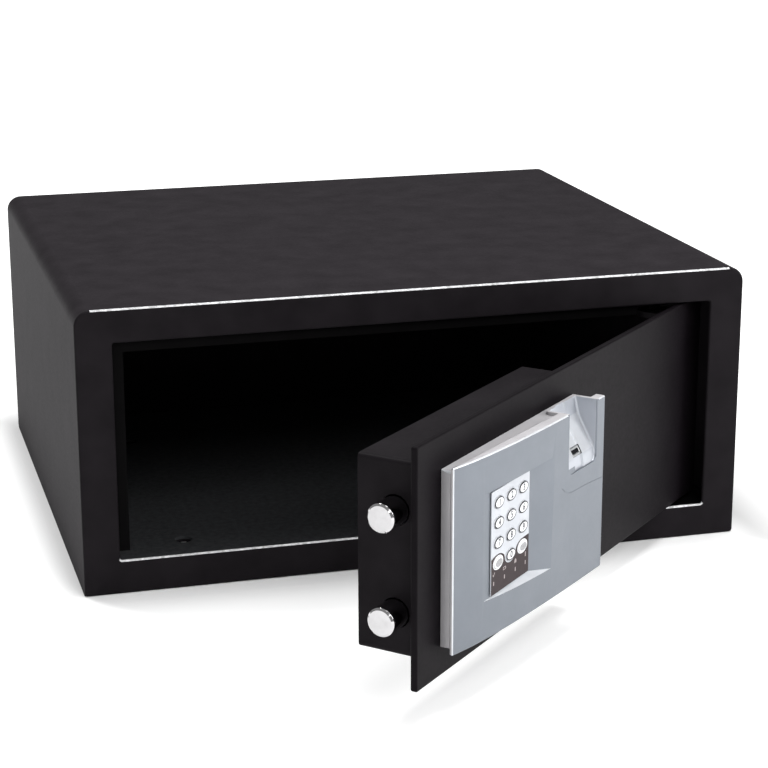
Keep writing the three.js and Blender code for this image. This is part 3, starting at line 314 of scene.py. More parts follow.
for node_name, node in frame["nodes"].items():
    node.data.materials.clear()
    node.data.materials.append(MATERIALS[SLOT_OF[node_name]])


# Outlines
def arc(cx, cy, radius, start, end, steps):
    """Points of an arc; the angles are in degrees."""
    points = []
    for index in range(steps + 1):
        angle = math.radians(start + (end - start) * index / steps)
        points.append((cx + radius * math.cos(angle), cy + radius * math.sin(angle)))
    return points


def rounded(u0, u1, v0, v1, low, high=None, steps=10):
    """A rectangle with round corners, counter-clockwise; its upper corners can have a radius of their own."""
    high = low if high is None else high
    return (
        arc(u1 - low, v0 + low, low, -90, 0, steps)
        + arc(u1 - high, v1 - high, high, 0, 90, steps)
        + arc(u0 + high, v1 - high, high, 90, 180, steps)
        + arc(u0 + low, v0 + low, low, 180, 270, steps)
    )


def oval(cx, cy, half_u, half_v, sides=48):
    step = 2 * math.pi / sides
    return [(cx + half_u * math.cos(i * step), cy + half_v * math.sin(i * step)) for i in range(sides)]


def rectangle(u0, u1, v0, v1):
    return [(u0, v0), (u1, v0), (u1, v1), (u0, v1)]


def anchor_hole(u, v):
    return oval(u, v, ANCHOR_RADIUS, ANCHOR_RADIUS)


def without_repeats(loop):
    """The closed loop with each point that repeats the one before it left out."""
    same = 1e-6
    kept = []
    for point in loop:
        if not kept or math.dist(point, kept[-1]) > same:
            kept.append(point)
    if math.dist(kept[0], kept[-1]) < same:
        kept.pop()
    return kept


def inset(loop, distance):
    """The loop moved to its left by distance, corner by corner."""
    if not distance:
        return list(loop)
    moved = []
    count = len(loop)
    for index, (x, y) in enumerate(loop):
        ax, ay = loop[index - 1]
        bx, by = loop[(index + 1) % count]
        first = Vector((x - ax, y - ay)).normalized()
        second = Vector((bx - x, by - y)).normalized()
        normal = Vector((-first.y - second.y, first.x + second.x))
        scale = distance / max(0.2, normal.length_squared / 2)
        moved.append((x + normal.x * scale, y + normal.y * scale))
    return moved


# Meshes
def linked(name, data):
    """A new object in the scene."""
    obj = bpy.data.objects.new(name, data)
    bpy.context.scene.collection.objects.link(obj)
    return obj


def evaluated_mesh(obj, keep_layers=False):
    """A mesh of the object with its modifiers applied."""
    bpy.context.view_layer.update()
    depsgraph = bpy.context.evaluated_depsgraph_get()
    done = obj.evaluated_get(depsgraph)
    return bpy.data.meshes.new_from_object(done, preserve_all_data_layers=keep_layers, depsgraph=depsgraph)


def even_shading(obj):
    """Normals weighted by face area, so that a flat face stays even beside its rounded edge."""
    modifier = obj.modifiers.new("even", "WEIGHTED_NORMAL")
    modifier.keep_sharp = True
    baked = evaluated_mesh(obj, keep_layers=True)
    obj.modifiers.clear()
    obj.data = baked


def mesh_of(bm, name):
    mesh = bpy.data.meshes.new(name)
    bm.to_mesh(mesh)
    bm.free()
    return mesh


def closed_mesh(bm, name):
    bmesh.ops.remove_doubles(bm, verts=bm.verts, dist=1e-7)
    bmesh.ops.recalc_face_normals(bm, faces=bm.faces)
    return mesh_of(bm, name)


def prism(loops, w0, w1, axis="y", edge0=0.0, edge1=0.0, steps=4):
    """A closed prism over an outer loop and its holes. edge0 and edge1 round its two ends.

    The loops lie across the axis: x and z for y, x and y for z, y and z for x.
    """
    spots = {
        "y": lambda u, v, w: (u * MM, w * MM, v * MM),
        "z": lambda u, v, w: (u * MM, v * MM, w * MM),
        "x": lambda u, v, w: (w * MM, u * MM, v * MM),
    }[axis]
    levels = end_levels(w0, edge0, 1, steps) + end_levels(w1, edge1, -1, steps)[::-1]
    bm = bmesh.new()
    ends = {0: [], len(levels) - 1: []}
    for number, loop in enumerate(loops):
        loop = without_repeats(loop)
        area = sum(a[0] * b[1] - b[0] * a[1] for a, b in zip(loop, loop[1:] + loop[:1]))
        if (area < 0) == (number == 0):
            loop = loop[::-1]
        grid = []
        for reach, w in levels:
            grid.append([bm.verts.new(spots(u, v, w)) for u, v in inset(loop, reach)])
        bridge(bm, grid)
        count = len(loop)
        for level in ends:
            verts = grid[level]
            ends[level] += [bm.edges.get((verts[i], verts[(i + 1) % count])) for i in range(count)]
    for edges in ends.values():
        bmesh.ops.triangle_fill(bm, use_beauty=True, use_dissolve=False, edges=edges)
    return closed_mesh(bm, "prism")


def end_levels(end, edge, sign, steps):
    """How far in and how far along a prism's outline lies at each level of a rounded end."""
    levels = []
    for turn in range(steps + 1) if edge else [steps]:
        angle = math.pi / 2 * turn / steps
        levels.append((edge * (1 - math.sin(angle)), end + sign * edge * (1 - math.cos(angle))))
    return levels


def bridge(bm, grid):
    """Faces between rings of equal length."""
    count = len(grid[0])
    for low, high in zip(grid, grid[1:]):
        for i in range(count):
            j = (i + 1) % count
            bm.faces.new((low[i], low[j], high[j], high[i]))


def lathe(profile, sides, along, centre, flatten=1.0):
    """A closed turned mesh. The profile is (radius, height) pairs from the axis and back; along is x or y."""
    bm = bmesh.new()
    rings = []
    for radius, height in profile:
        turned = []
        for i in range(1 if radius == 0 else sides):
            angle = 2 * math.pi * i / sides
            a, b = radius * math.cos(angle), radius * math.sin(angle) * flatten
            spot = (height, a, b) if along == "x" else (a, height, b)
            turned.append(bm.verts.new([(s + c) * MM for s, c in zip(spot, centre)]))
        rings.append(turned)
    for low, high in zip(rings, rings[1:]):
        for i in range(sides):
            j = (i + 1) % sides
            corners = [low[i % len(low)], low[j % len(low)], high[j % len(high)], high[i % len(high)]]
            bm.faces.new(list(dict.fromkeys(corners)))
    return closed_mesh(bm, "turned")


def loft(rings):
    """A closed mesh through rings of equal length, each a list of points."""
    bm = bmesh.new()
    grid = [[bm.verts.new([c * MM for c in point]) for point in points] for points in rings]
    bridge(bm, grid)
    caps = [bm.faces.new(grid[0]), bm.faces.new(grid[-1])]
    bmesh.ops.triangulate(bm, faces=caps)
    return closed_mesh(bm, "loft")


def box_mesh(x0, x1, y0, y1, z0, z1):
    return prism([rectangle(x0, x1, z0, z1)], y0, y1)


def boolean(base, tools, operation="DIFFERENCE"):
    """The base mesh cut by, joined to or met with each tool mesh, exactly."""
    for tool in tools:
        holder = linked("base", base)
        cutter = linked("tool", tool)
        modifier = holder.modifiers.new("cut", "BOOLEAN")
        modifier.operation = operation
        modifier.solver = "EXACT"
        modifier.object = cutter
        base = evaluated_mesh(holder)
        bpy.data.objects.remove(holder)
        bpy.data.objects.remove(cutter)
    return base


def softened(mesh, width, angle, name):
    """The mesh with its edges rounded, as geometry."""
    bm = bmesh.new()
    bm.from_mesh(mesh)
    bmesh.ops.remove_doubles(bm, verts=bm.verts, dist=2e-6)
    bmesh.ops.dissolve_limit(bm, angle_limit=math.radians(0.6), verts=bm.verts, edges=bm.edges)
    holder = linked("holder", mesh_of(bm, name))
    modifier = holder.modifiers.new("round", "BEVEL")
    modifier.width = width * MM
    modifier.segments = 3
    modifier.limit_method = "ANGLE"
    modifier.angle_limit = math.radians(angle)
    modifier.miter_outer = "MITER_ARC"
    done = evaluated_mesh(holder)
    bpy.data.objects.remove(holder)
    done.materials.clear()
    return done


def merged(meshes, name):
    """Closed meshes side by side in one mesh, from pairs of a mesh and its material index."""
    bm = bmesh.new()
    for mesh, index in meshes:
        before = len(bm.faces)
        bm.from_mesh(mesh)
        bm.faces.ensure_lookup_table()
        for face in bm.faces[before:]:
            face.material_index = index
    return mesh_of(bm, name)


def faced(mesh, material, *rules):
    """The mesh in a material, and in another one where a rule holds; the last rule that holds counts.

    A rule is a material and a test of a face's normal and of its centre in millimetres.
    """
    mesh.materials.clear()
    for name in [material] + [rule[0] for rule in rules]:
        mesh.materials.append(MATERIALS[name])
    for face in mesh.polygons:
        face.material_index = 0
        for index, (_, test) in enumerate(rules, 1):
            if test(face.normal, face.center / MM):
                face.material_index = index
    return mesh


def piece(name, mesh, slot, body, nodes=(), matrix=Matrix.Identity(4), sharp=32):
    """A piece of the visual model, which rides on a body and can stand for CAD nodes."""
    mesh.transform(matrix)
    obj = linked(name, mesh)
    if not mesh.materials:
        mesh.materials.append(MATERIALS[slot])
    mesh.polygons.foreach_set("use_smooth", [True] * len(mesh.polygons))
    mesh.set_sharp_from_angle(angle=math.radians(sharp))
    even_shading(obj)
    if nodes:
        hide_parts(*nodes)
    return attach(obj, body)


def dressed(node, width, body, angle=35):
    """A CAD node's own form with its edges rounded."""
    mesh = softened(frame["nodes"][node].data, width, angle, node)
    return piece(f"{node}_dressed", mesh, SLOT_OF[node], body, [node])


# Cabinet
def make_shell():
    """The sheet bent over the top and both sides, in a lighter copy of the black coat: painted light, so that
    its top reads lighter than the front.
    """
    half, rise = WIDTH / 2, HEIGHT - BEND
    inner = half - SHEET
    outline = (
        [(half, 0)] + arc(half - BEND, rise, BEND, 0, 90, BEND_STEPS)
        + arc(BEND - half, rise, BEND, 90, 180, BEND_STEPS) + [(-half, 0), (-inner, 0)]
        + arc(BEND - half, rise, BEND - SHEET, 180, 90, BEND_STEPS)
        + arc(half - BEND, rise, BEND - SHEET, 90, 0, BEND_STEPS) + [(inner, 0)]
    )
    sheet = faced(prism([outline], FRAME_BACK, BACK_INNER), "shell_painted_light")
    piece("wrapper", sheet, "black_paint", "cabinet", ["body_shell"])


def cabinet_end():
    """The cabinet's outline from the front."""
    return rounded(-WIDTH / 2, WIDTH / 2, 0, HEIGHT, LOWER_CORNER, BEND, BEND_STEPS)


def make_front():
    """The front plate, with a painted highlight along the rounded edges that look up."""
    loops = [cabinet_end(), rounded(*OPENING, OPENING_CORNER)]
    face = prism(loops, -DEPTH / 2, FRAME_BACK, edge0=FRONT_EDGE, steps=5)
    # The edges that look up get a painted highlight.
    faced(face, "black_paint", ("shell_painted_light", on_outer_rim), ("edge_painted_highlight", on_highlit_edge))
    piece("front_face", face, "black_paint", "cabinet", ["front_frame"])


def on_outer_rim(normal, centre):
    """Whether a face of the front plate lies flush with the bent sheet, and so takes the sheet's painted
    light.
    """
    outermost = abs(centre.x) > WIDTH / 2 - 0.1 or centre.z > HEIGHT - 0.1
    return outermost and normal.y > -0.05


def on_highlit_edge(normal, centre):
    """Whether a face of the front plate lies on a rounded edge that looks up, away from the bends, where the
    highlight is painted.
    """
    return normal.z > 0.2 and -0.98 < normal.y < -0.15 and abs(centre.x) < WIDTH / 2 - BEND


def make_back():
    """The back plate with its two anchor holes."""
    holes = [anchor_hole(side * BACK_ANCHOR[0], BACK_ANCHOR[1]) for side in (-1, 1)]
    back = prism([cabinet_end()] + holes, BACK_INNER, DEPTH / 2, edge1=BACK_EDGE)
    piece("back_face", back, "black_paint", "cabinet", ["back_panel"])


def make_inner_metal():
    """The door stop and the hinge's brackets and pins, in a darker copy of the black coat: painted shade for
    the inside of the cabinet.
    """
    painted_shade_coat = MATERIALS["inner_painted_shade"]
    for node in ("door_stop", "hinge_bracket_lower", "hinge_bracket_upper"):
        dressed(node, 0.4, "cabinet").data.materials[0] = painted_shade_coat
    for node in ("hinge_pin_lower", "hinge_pin_upper"):
        frame["nodes"][node].data.materials[0] = painted_shade_coat


def make_mat():
    """Felt cut to the floor, with a soft upper edge."""
    reach = MAT.x
    outline = rounded(-reach, reach, MAT.y0, MAT.y1, MAT.corner)
    holes = [anchor_hole(sx * BASE_ANCHOR[0], sy * BASE_ANCHOR[1]) for sx in (-1, 1) for sy in (-1, 1)]
    top = MAT.z + MAT.thick
    mesh = prism([outline] + holes, MAT.z, top, axis="z", edge1=MAT.edge, steps=3)
    mat = piece("felt_mat", mesh, "felt", "cabinet", ["floor_mat"])


# Door
def make_leaf():
    """The leaf with its holes, and the pillars that carry the lock case, in a darker copy of the black coat:
    painted shade.
    """
    outline = rounded(0, LEAF.width, LEAF.bottom, LEAF.top, OPENING_CORNER)
    plate = prism([outline], 0, LEAF.thick, edge0=LEAF.round, edge1=LEAF.round, steps=5)
    drills = [leaf_drill(BOSS.bore, z) for z in SCREW_HEIGHTS]
    drills.append(leaf_drill(CABLE_HOLE.radius, CABLE_HOLE.height))
    plate = boolean(plate, drills)
    plate = boolean(plate, [bored_post(PILLAR, x, z) for x, z in PILLAR_PLACES], "UNION")
    faced(plate, "leaf_painted_shade")
    piece("leaf", plate, "black_paint", "door", ["door_plate"], LEAF_FRAME)


def leaf_drill(radius, z):
    """A drill through the leaf, in line with the fascia's screws."""
    low, high = -2 * PAST, LEAF.thick + 2 * PAST
    return lathe([(0, low), (radius, low), (radius, high), (0, high)], 40, "y", (SCREW_X, 0, z))


def bored_post(post, x, z):
    """A pillar behind the leaf or a boss in front of it, bored from its mouth."""
    section = [
        (0, post.bore_end), (post.bore, post.bore_end), (post.bore, post.mouth),
        (post.radius, post.mouth), (post.radius, post.root), (0, post.root),
    ]
    return lathe(section, 40, "y", (x, 0, z))


def make_bolts():
    """Two turned bolts, each with a spigot for the bar."""
    r, tip, length = BOLT.radius, BOLT.tip, BOLT.length
    chamfer, face_round, side_round = BOLT.chamfer, BOLT.face_round, BOLT.side_round
    spigot, end = BOLT.spigot, length + BOLT.spigot_length
    profile = (
        [(0, 0), (r - chamfer - face_round, 0)]
        + arc(r - chamfer - face_round, face_round, face_round, -90, -45, 3)
        + arc(r - side_round, chamfer + face_round, side_round, -45, 0, 4)
        + [(r, length), (spigot, length), (spigot, end), (0, end)]
    )
    for name, z in BOLT_HEIGHTS.items():
        mesh = lathe(profile, 96, "x", (tip, BOLT.depth, z))
        piece(f"{name}_turned", mesh, "chrome", "bolts", [name], LEAF_FRAME, 40)


# Fascia
def front_curve(shrink=0.0):
    """Plan points of the fascia's front, from its left edge to its right."""
    steps = 48
    x0, x2 = FASCIA.left + shrink, FASCIA.right - shrink
    n0, n1, n2 = EDGE_N.left - shrink, BULGE[1] - shrink, EDGE_N.right - shrink
    points = []
    for i in range(steps + 1):
        t = i / steps
        a, b, c = (1 - t) ** 2, 2 * t * (1 - t), t * t
        points.append((a * x0 + b * BULGE[0] + c * x2, -(a * n0 + b * n1 + c * n2)))
    return points


def fillet(points, at, radius, steps=6):
    """The closed outline with its corner at index at rounded."""
    here = Vector(points[at])
    before = (Vector(points[at - 1]) - here).normalized()
    after = (Vector(points[(at + 1) % len(points)]) - here).normalized()
    half = before.angle(after) / 2
    reach = radius / math.tan(half)
    centre = here + (before + after).normalized() * radius / math.sin(half)
    start, end = here + before * reach - centre, here + after * reach - centre
    curve = []
    for i in range(steps + 1):
        mixed = start.lerp(end, i / steps).normalized() * radius
        curve.append(tuple(centre + mixed))
    return points[:at] + curve + points[at + 1:]


def plan(back_left, back_right, shrink=0.0):
    """The fascia seen from above: its front curve, closed along the back."""
    left, right = FASCIA.left + shrink, FASCIA.right - shrink
    return [(left, -back_left)] + front_curve(shrink) + [(right, -back_right)]


def scoop_depth(z):
    """How far the scoop's back lies in front of the leaf: a wall, a ramp and an easing to the lip."""
    steep = math.tan(LEAN)
    slight = (SCOOP.back - SCOOP.top_back) / (FASCIA.top - SCOOP.bend)
    bend_half = SCOOP.bend_half
    above = z - SCOOP.bend
    if abs(above) < bend_half:
        turn = (steep - slight) / (4 * bend_half)
        return SCOOP.back - (steep + slight) / 2 * above + turn * (above ** 2 + bend_half ** 2)
    if above > 0:
        return SCOOP.back - slight * above
    if z >= SCOOP_FOOT:
        return SCOOP.back - steep * above
    control = SCOOP_FOOT - (SCOOP.lip - SCOOP.foot) / 2 / steep
    first = SCOOP_FOOT - control
    second = SCOOP_FOOT - 2 * control + SCOOP.bottom
    s = (first - math.sqrt(max(0, first ** 2 - second * (SCOOP_FOOT - z)))) / second
    middle = (SCOOP.foot + SCOOP.lip) / 2
    return (1 - s) ** 2 * SCOOP.foot + 2 * s * (1 - s) * middle + s * s * SCOOP.lip


def front_depth(x):
    """How far in front of the leaf the fascia's front lies at a place along it."""
    points = front_curve()
    for (x0, y0), (x1, y1) in zip(points, points[1:]):
        if x0 <= x <= x1:
            return -(y0 + (y1 - y0) * (x - x0) / (x1 - x0))
    return -points[-1][1]


def scoop_ring(z, depth, grow, hollow):
    """One level of the scoop; for cutting, it has the groove and round front edges."""
    corner = SCOOP.round + grow
    rise = z - (SCOOP.bottom - grow)
    narrow = 0.0 if rise >= corner else corner - math.sqrt(max(0, corner ** 2 - (corner - rise) ** 2))
    left, right = SCOOP.left - grow + narrow, SCOOP.right + grow - narrow
    front_left, front_right = front_depth(left), front_depth(right)
    room_left, room_right = (max(0.1, front - depth) for front in (front_left, front_right))
    r_left, r_right = (min(SCOOP.back_round, room / 2) + grow for room in (room_left, room_right))
    side_left = arc(left + r_left, -depth - r_left, r_left, 180, 90, 6)
    side_right = arc(right - r_right, -depth - r_right, r_right, 90, 0, 6)
    if not hollow:
        return [(x, y, z) for x, y in [(left, -FAR), *side_left, *side_right, (right, -FAR)]]
    sunk = depth - GROOVE.depth
    groove = [
        (GROOVE.left, -depth), (GROOVE.left + GROOVE.slope, -sunk),
        (GROOVE.right - GROOVE.slope, -sunk), (GROOVE.right, -depth),
    ]
    lip_left, lip_right = (min(SCOOP.lip_round, room / 2 - 0.02) for room in (room_left, room_right))
    outer_left = arc(left - lip_left, -front_left + lip_left, lip_left, -90, 0, 5)
    outer_right = arc(right + lip_right, -front_right + lip_right, lip_right, 180, 270, 5)
    flat = [(left - lip_left, -FAR), *outer_left, *side_left, *groove, *side_right, *outer_right]
    return [(x, y, z) for x, y in flat + [(right + lip_right, -FAR)]]


def scoop(grow=0.0, hollow=True):
    """The finger scoop's form, level by level from its round lower corners."""
    low = SCOOP.bottom - grow
    corner = SCOOP.round + grow
    bend_low = SCOOP.bend - SCOOP.bend_half
    levels = [low + corner * (1 - math.cos(math.radians(angle))) for angle in range(0, 91, 9)]
    levels += [low + corner + (bend_low - low - corner) * i / 16 for i in range(1, 17)]
    levels += [bend_low + SCOOP.bend_half * i / 3 for i in range(1, 7)]
    levels += [FASCIA.top - 0.01, FASCIA.top + 6 * PAST]
    rings = []
    for z in levels:
        depth = scoop_depth(min(max(z, SCOOP.bottom), FASCIA.top)) - grow
        rings.append(scoop_ring(z, depth, grow, hollow))
    return loft(rings)


def keypad_recess():
    """What is cut out round the keypad: a floor with a ramp to its right, and slopes above and below."""
    left = FASCIA.left + RECESS.inset
    right = KEY_CENTRE[0] + FOIL.width / 2 + RECESS.right_room
    ramp_end, ramp_n = right + RECESS.ramp, FLOOR_N + RECESS.ramp_rise
    low, high = FOIL.bottom - RECESS.room, FOIL.top + RECESS.room
    slope_low, slope_high = low - RECESS.slope_down, high + RECESS.slope_up
    slope_n = FLOOR_N + RECESS.slope_rise
    across = [(left, -FLOOR_N), (left, -FAR), (ramp_end, -FAR), (ramp_end, -ramp_n), (right, -FLOOR_N)]
    upright = [
        (-FLOOR_N, low), (-FLOOR_N, high), (-slope_n, slope_high), (-FAR, slope_high), (-FAR, slope_low),
        (-slope_n, slope_low),
    ]
    flat = prism([across], slope_low - PAST, slope_high + 2 * PAST, axis="z")
    side = prism([upright], left - PAST, ramp_end + PAST, axis="x")
    return boolean(flat, [side], "INTERSECT")


def key_places():
    """Each key's name and centre, row by row from the top."""
    for index, name in enumerate(KEY_NAMES):
        x = KEY_CENTRE[0] + (index % 3 - 1) * KEY_PITCH[0]
        z = KEY_CENTRE[1] + (1.5 - index // 3) * KEY_PITCH[1]
        yield name, x, z


def key_hole(x, z):
    return oval(x, z, KEY_HALF[0] + KEY_GAP, KEY_HALF[1] + KEY_GAP)


def sensor_matrix():
    """The sensor's place in the groove of the ramp, tilted with it."""
    n = SCOOP.back + (SCOOP.bend - SENSOR.z) * math.tan(LEAN) - GROOVE.depth
    return Matrix.Translation((SENSOR.x * MM, -n * MM, SENSOR.z * MM)) @ Matrix.Rotation(-LEAN, 4, "X")


def fascia_shell():
    """The hollow cover with rounded edges."""
    bottom, top, skin, edge = FASCIA.bottom, FASCIA.top, FASCIA.skin, FASCIA.edge
    outline = plan(BASE_N.left + SEAT, BASE_N.right + SEAT)
    outline = fillet(outline, len(outline) - 2, FASCIA.plan_round)
    outline = fillet(outline, 1, FASCIA.left_round)
    shell = prism([outline], bottom, top, "z", edge, edge, 5)
    hollow = prism([plan(0, 0, skin)], bottom + skin, top - skin, "z")
    return boolean(shell, [hollow])


def fascia_backing():
    """What stands in the hollow: the block round the keypad and the scoop's walls."""
    whole = prism([plan(0, 0, HAIR)], FASCIA.bottom + HAIR, FASCIA.top - HAIR, "z")
    half = FOIL.width / 2
    block = box_mesh(KEY_CENTRE[0] - half - BLOCK.left, KEY_CENTRE[0] + half + BLOCK.right,
                     -FAR, -FLOOR_BACK_N, FOIL.bottom - BLOCK.below, FOIL.top + BLOCK.above)
    block = boolean(block, [whole], "INTERSECT")
    tub = boolean(scoop(SCOOP.wall, hollow=False), [whole], "INTERSECT")
    return [block, tub]


def sensor_pocket():
    wide, high = SENSOR.width / 2 + SEAT, SENSOR.height / 2 + SEAT
    pocket = box_mesh(-wide, wide, *POCKET, -high, high)
    pocket.transform(sensor_matrix())
    return pocket


def seam_groove():
    """The fine seam that runs under the scoop to the right edge."""
    band = [(x, z - SEAM_HALF) for x, z in SEAM] + [(x, z + SEAM_HALF) for x, z in SEAM[::-1]]
    kept = prism([plan(0, 0, SEAM_DEPTH)], FASCIA.bottom, FASCIA.top, "z")
    return boolean(prism([band], -FAR, -SEAM_BACK), [kept])


def make_cover():
    """The silver cover with its keypad recess, its finger scoop and its seam."""
    shell = boolean(fascia_shell(), fascia_backing(), "UNION")
    holes = [prism([key_hole(x, z)], -FAR, 0) for _, x, z in key_places()]
    shell = boolean(shell, [scoop(), keypad_recess(), *holes, sensor_pocket(), seam_groove()])
    # The cover is silver. Lighter copies of it on the scoop, its ramp, its front edges and the ledge under
    # the keypad are painted light and painted highlights. The housing's grey on its top, its left side and
    # the tub's outside is painted light.
    faced(
        shell, "silver_plastic", ("grey_plastic", on_top_or_side), ("silver_painted_light", in_scoop),
        ("silver_painted_highlight", on_ramp), ("silver_edge_painted_highlight", on_front_edge), ("black_plastic", in_sensor_pocket),
        ("grey_plastic", on_tub_outside), ("silver_edge_painted_highlight", on_ledge),
    )
    piece("fascia_shell", shell, "silver_plastic", "door", ["fascia_cover"], LEAF_FRAME, 28)


def on_top_or_side(normal, centre):
    """Whether a face lies on the cover's flat top or left side, which take the housing's grey as painted
    light.
    """
    on_top = normal.z > 0.93 and centre.z > FASCIA.top - 0.2
    return on_top or (normal.x < -0.9 and centre.x < FASCIA.left + 0.2)


def on_front_edge(normal, centre):
    """Whether a face lies on the rounded edge between the fascia's front and its top or left side, which
    takes a painted highlight.
    """
    near = FASCIA.plan_round
    beside_scoop = not SCOOP.left - 1 < centre.x < SCOOP.right + 1
    upper = centre.z > FASCIA.top - near and 0.3 < normal.z < 0.93 and normal.y < -0.3 and beside_scoop
    side = centre.x < FASCIA.left + near and normal.x < -0.3 and normal.y < -0.3
    return upper or side


def in_scoop(normal, centre):
    """Whether a face lies in the finger scoop, whose walls take painted light."""
    across = SCOOP.left - 0.1 < centre.x < SCOOP.right + 0.1
    upright = SCOOP.bottom - 0.1 < centre.z < FASCIA.top and normal.z < 0.93
    return across and upright and centre.y > 0.75 - front_depth(centre.x)


def on_ramp(normal, centre):
    """Whether a face lies on the scoop's ramp, which takes a painted highlight."""
    in_groove = GROOVE.left - 0.1 < centre.x < GROOVE.right + 0.1
    return in_scoop(normal, centre) and normal.z > 0.25 and (normal.y < -0.75 or in_groove)


def on_ledge(normal, centre):
    """Whether a face lies on the sloping ledge under the keypad, which takes a painted highlight."""
    return FOIL.bottom - 6 < centre.z < FOIL.bottom and normal.z > 0.5 and normal.y < -0.2


def on_tub_outside(normal, centre):
    """Whether a face is the outside of the scoop's left wall, where it stands above the grey housing, and
    takes the housing's grey as painted light.
    """
    left_wall = SCOOP.left - SCOOP.wall - 0.1 < centre.x < SCOOP.left + 5 and normal.x < -0.1
    return left_wall and centre.z > BASE_Z[1] - 8 and centre.y > -BASE_N.right


def in_sensor_pocket(normal, centre):
    """Whether a face is a wall of the sensor's pocket."""
    spot = sensor_matrix().inverted() @ (centre * MM) / MM
    beside = abs(spot.x) < SENSOR.width / 2 + SEAT + HAIR
    return beside and abs(spot.z) < SENSOR.height / 2 + SEAT + HAIR and spot.y > 0.02


def make_housing():
    """The grey housing behind the cover, with a crowned left side and two screw bosses."""
    left, right = FASCIA.left, FASCIA.right
    low, high = BASE_Z
    steps = 8
    crown = []
    for i in range(steps + 1):
        t = i / steps
        crown.append((left + BASE_CROWN * (1 - t) ** 2, -SEAT - (BASE_N.left - SEAT) * t))
    outline = crown + [(right, -BASE_N.right), (right, -SEAT)]
    block = prism([outline], low, high, "z")
    block = boolean(block, [prism([rounded(left, right, low, high, BASE_CORNER)], -FAR, 0)], "INTERSECT")
    inner = box_mesh(left + BASE_WALL, right - BASE_WALL, -FAR, FAR, low + BASE_WALL, high - BASE_WALL)
    base = boolean(block, [inner])
    base = boolean(base, [bored_post(BOSS, SCREW_X, z) for z in SCREW_HEIGHTS], "UNION")
    base = boolean(base, [scoop(SCOOP.wall + SEAT, hollow=False)])
    # The rounded top-left corner takes a painted highlight.
    faced(base, "grey_plastic", ("silver_edge_painted_highlight", lambda n, c: n.x < -0.35 and n.z > 0.3 and c.x < left + 3))
    piece("fascia_housing", base, "grey_plastic", "door", ["fascia_base"], LEAF_FRAME, 28)


# Keypad
def ring(x, z, outer, width, n0, n1):
    """A flat oval ring in front of the leaf, from n0 out to n1."""
    inner = (outer[0] - width, outer[1] - width)
    return prism([oval(x, z, *outer), oval(x, z, *inner)], -n1, -n0)


def make_foil():
    """The keypad's face, and the dark print on its lower part."""
    half = FOIL.width / 2
    x0, x1 = KEY_CENTRE[0] - half, KEY_CENTRE[0] + half
    outline = rounded(x0, x1, FOIL.bottom, FOIL.top, FOIL.corner)
    holes = [key_hole(x, z) for _, x, z in key_places()]
    sheet = prism([outline] + holes, -KEYPAD_N, FOIL.thick - KEYPAD_N, edge0=FOIL.edge, steps=2)
    piece("foil_light", sheet, "keypad_foil", "door", ["keypad_foil"], LEAF_FRAME)
    low = FOIL.bottom + PRINT_MARGIN
    dark = [(x0 + PRINT_MARGIN, low), (x1 - PRINT_MARGIN, low)] + dark_border(x0, x1)[::-1]
    side_keys = [key_hole(x, z) for name, x, z in key_places() if name in SIDE_KEYS]
    printed = prism([dark] + side_keys, -PRINT_N, -KEYPAD_N + 0.02)
    piece("foil_dark", printed, "dark_print", "door", (), LEAF_FRAME)


def dark_border(x0, x1):
    """The upper edge of the dark print: a shoulder on each side and a dip under the nought."""
    _, zero_x, zero_z = list(key_places())[KEY_NAMES.index("0")]
    dip = []
    for i in range(DIP.steps + 1):
        angle = math.pi + math.pi * i / DIP.steps
        across, up = DIP.wide * math.cos(angle), DIP.high * math.sin(angle)
        dip.append((zero_x + across, zero_z + DIP.lift + up))
    reach, drop = DIP_END
    left = [(x0 + PRINT_MARGIN, DARK_TOP + LEFT_DROP)] + [(x0 + u, DARK_TOP + v) for u, v in LEFT_SHOULDER]
    right = [(x1 - u, DARK_TOP + v) for u, v in RIGHT_SHOULDER] + [(x1 - PRINT_MARGIN, DARK_TOP + RIGHT_LIFT)]
    return left + [(zero_x - reach, DARK_TOP + drop)] + dip + [(zero_x + reach, DARK_TOP + drop)] + right


def letter(text):
    """A figure as a thin closed mesh, centred across x and z."""
    curve = bpy.data.curves.new("figure", "FONT")
    curve.body = text
    curve.size = FIGURE.size
    curve.align_x = "CENTER"
    curve.align_y = "CENTER"
    curve.extrude = FIGURE.depth
    curve.offset = FIGURE.bolder
    curve.resolution_u = 4
    obj = linked("figure", curve)
    mesh = evaluated_mesh(obj)
    bpy.data.objects.remove(obj)
    mesh.transform(Matrix.Rotation(math.pi / 2, 4, "X"))
    mesh.transform(Matrix.Scale(MM, 4))
    return mesh


def key_profile(face):
    """A key's section, with a flange behind the recess's floor."""
    wide, edge = KEY_HALF[0], KEY.edge
    flange, front, back = wide + KEY.flange, 0.2 - FLOOR_BACK_N, 0.8 - FLOOR_BACK_N
    return (
        [(0, -face - KEY.crown), (wide * 0.5, -face - 0.09), (wide - 0.7, -face)]
        + arc(wide - edge, -face + edge, edge, -90, 0, 5)
        + [(wide, front), (flange, front), (flange, back), (0, back)]
    )


def number_marks(name, x, z, face):
    """A dark ring over the key's rounded edge, which is painted shade, and the key's printed figure."""
    figure = letter(name)
    figure.transform(Matrix.Translation((x * MM, (-face - KEY.crown) * MM, z * MM)))
    return [(ring(x, z, KEY.ring, KEY.ring_width, face - KEY.edge, face + 0.04), 1), (figure, 1)]


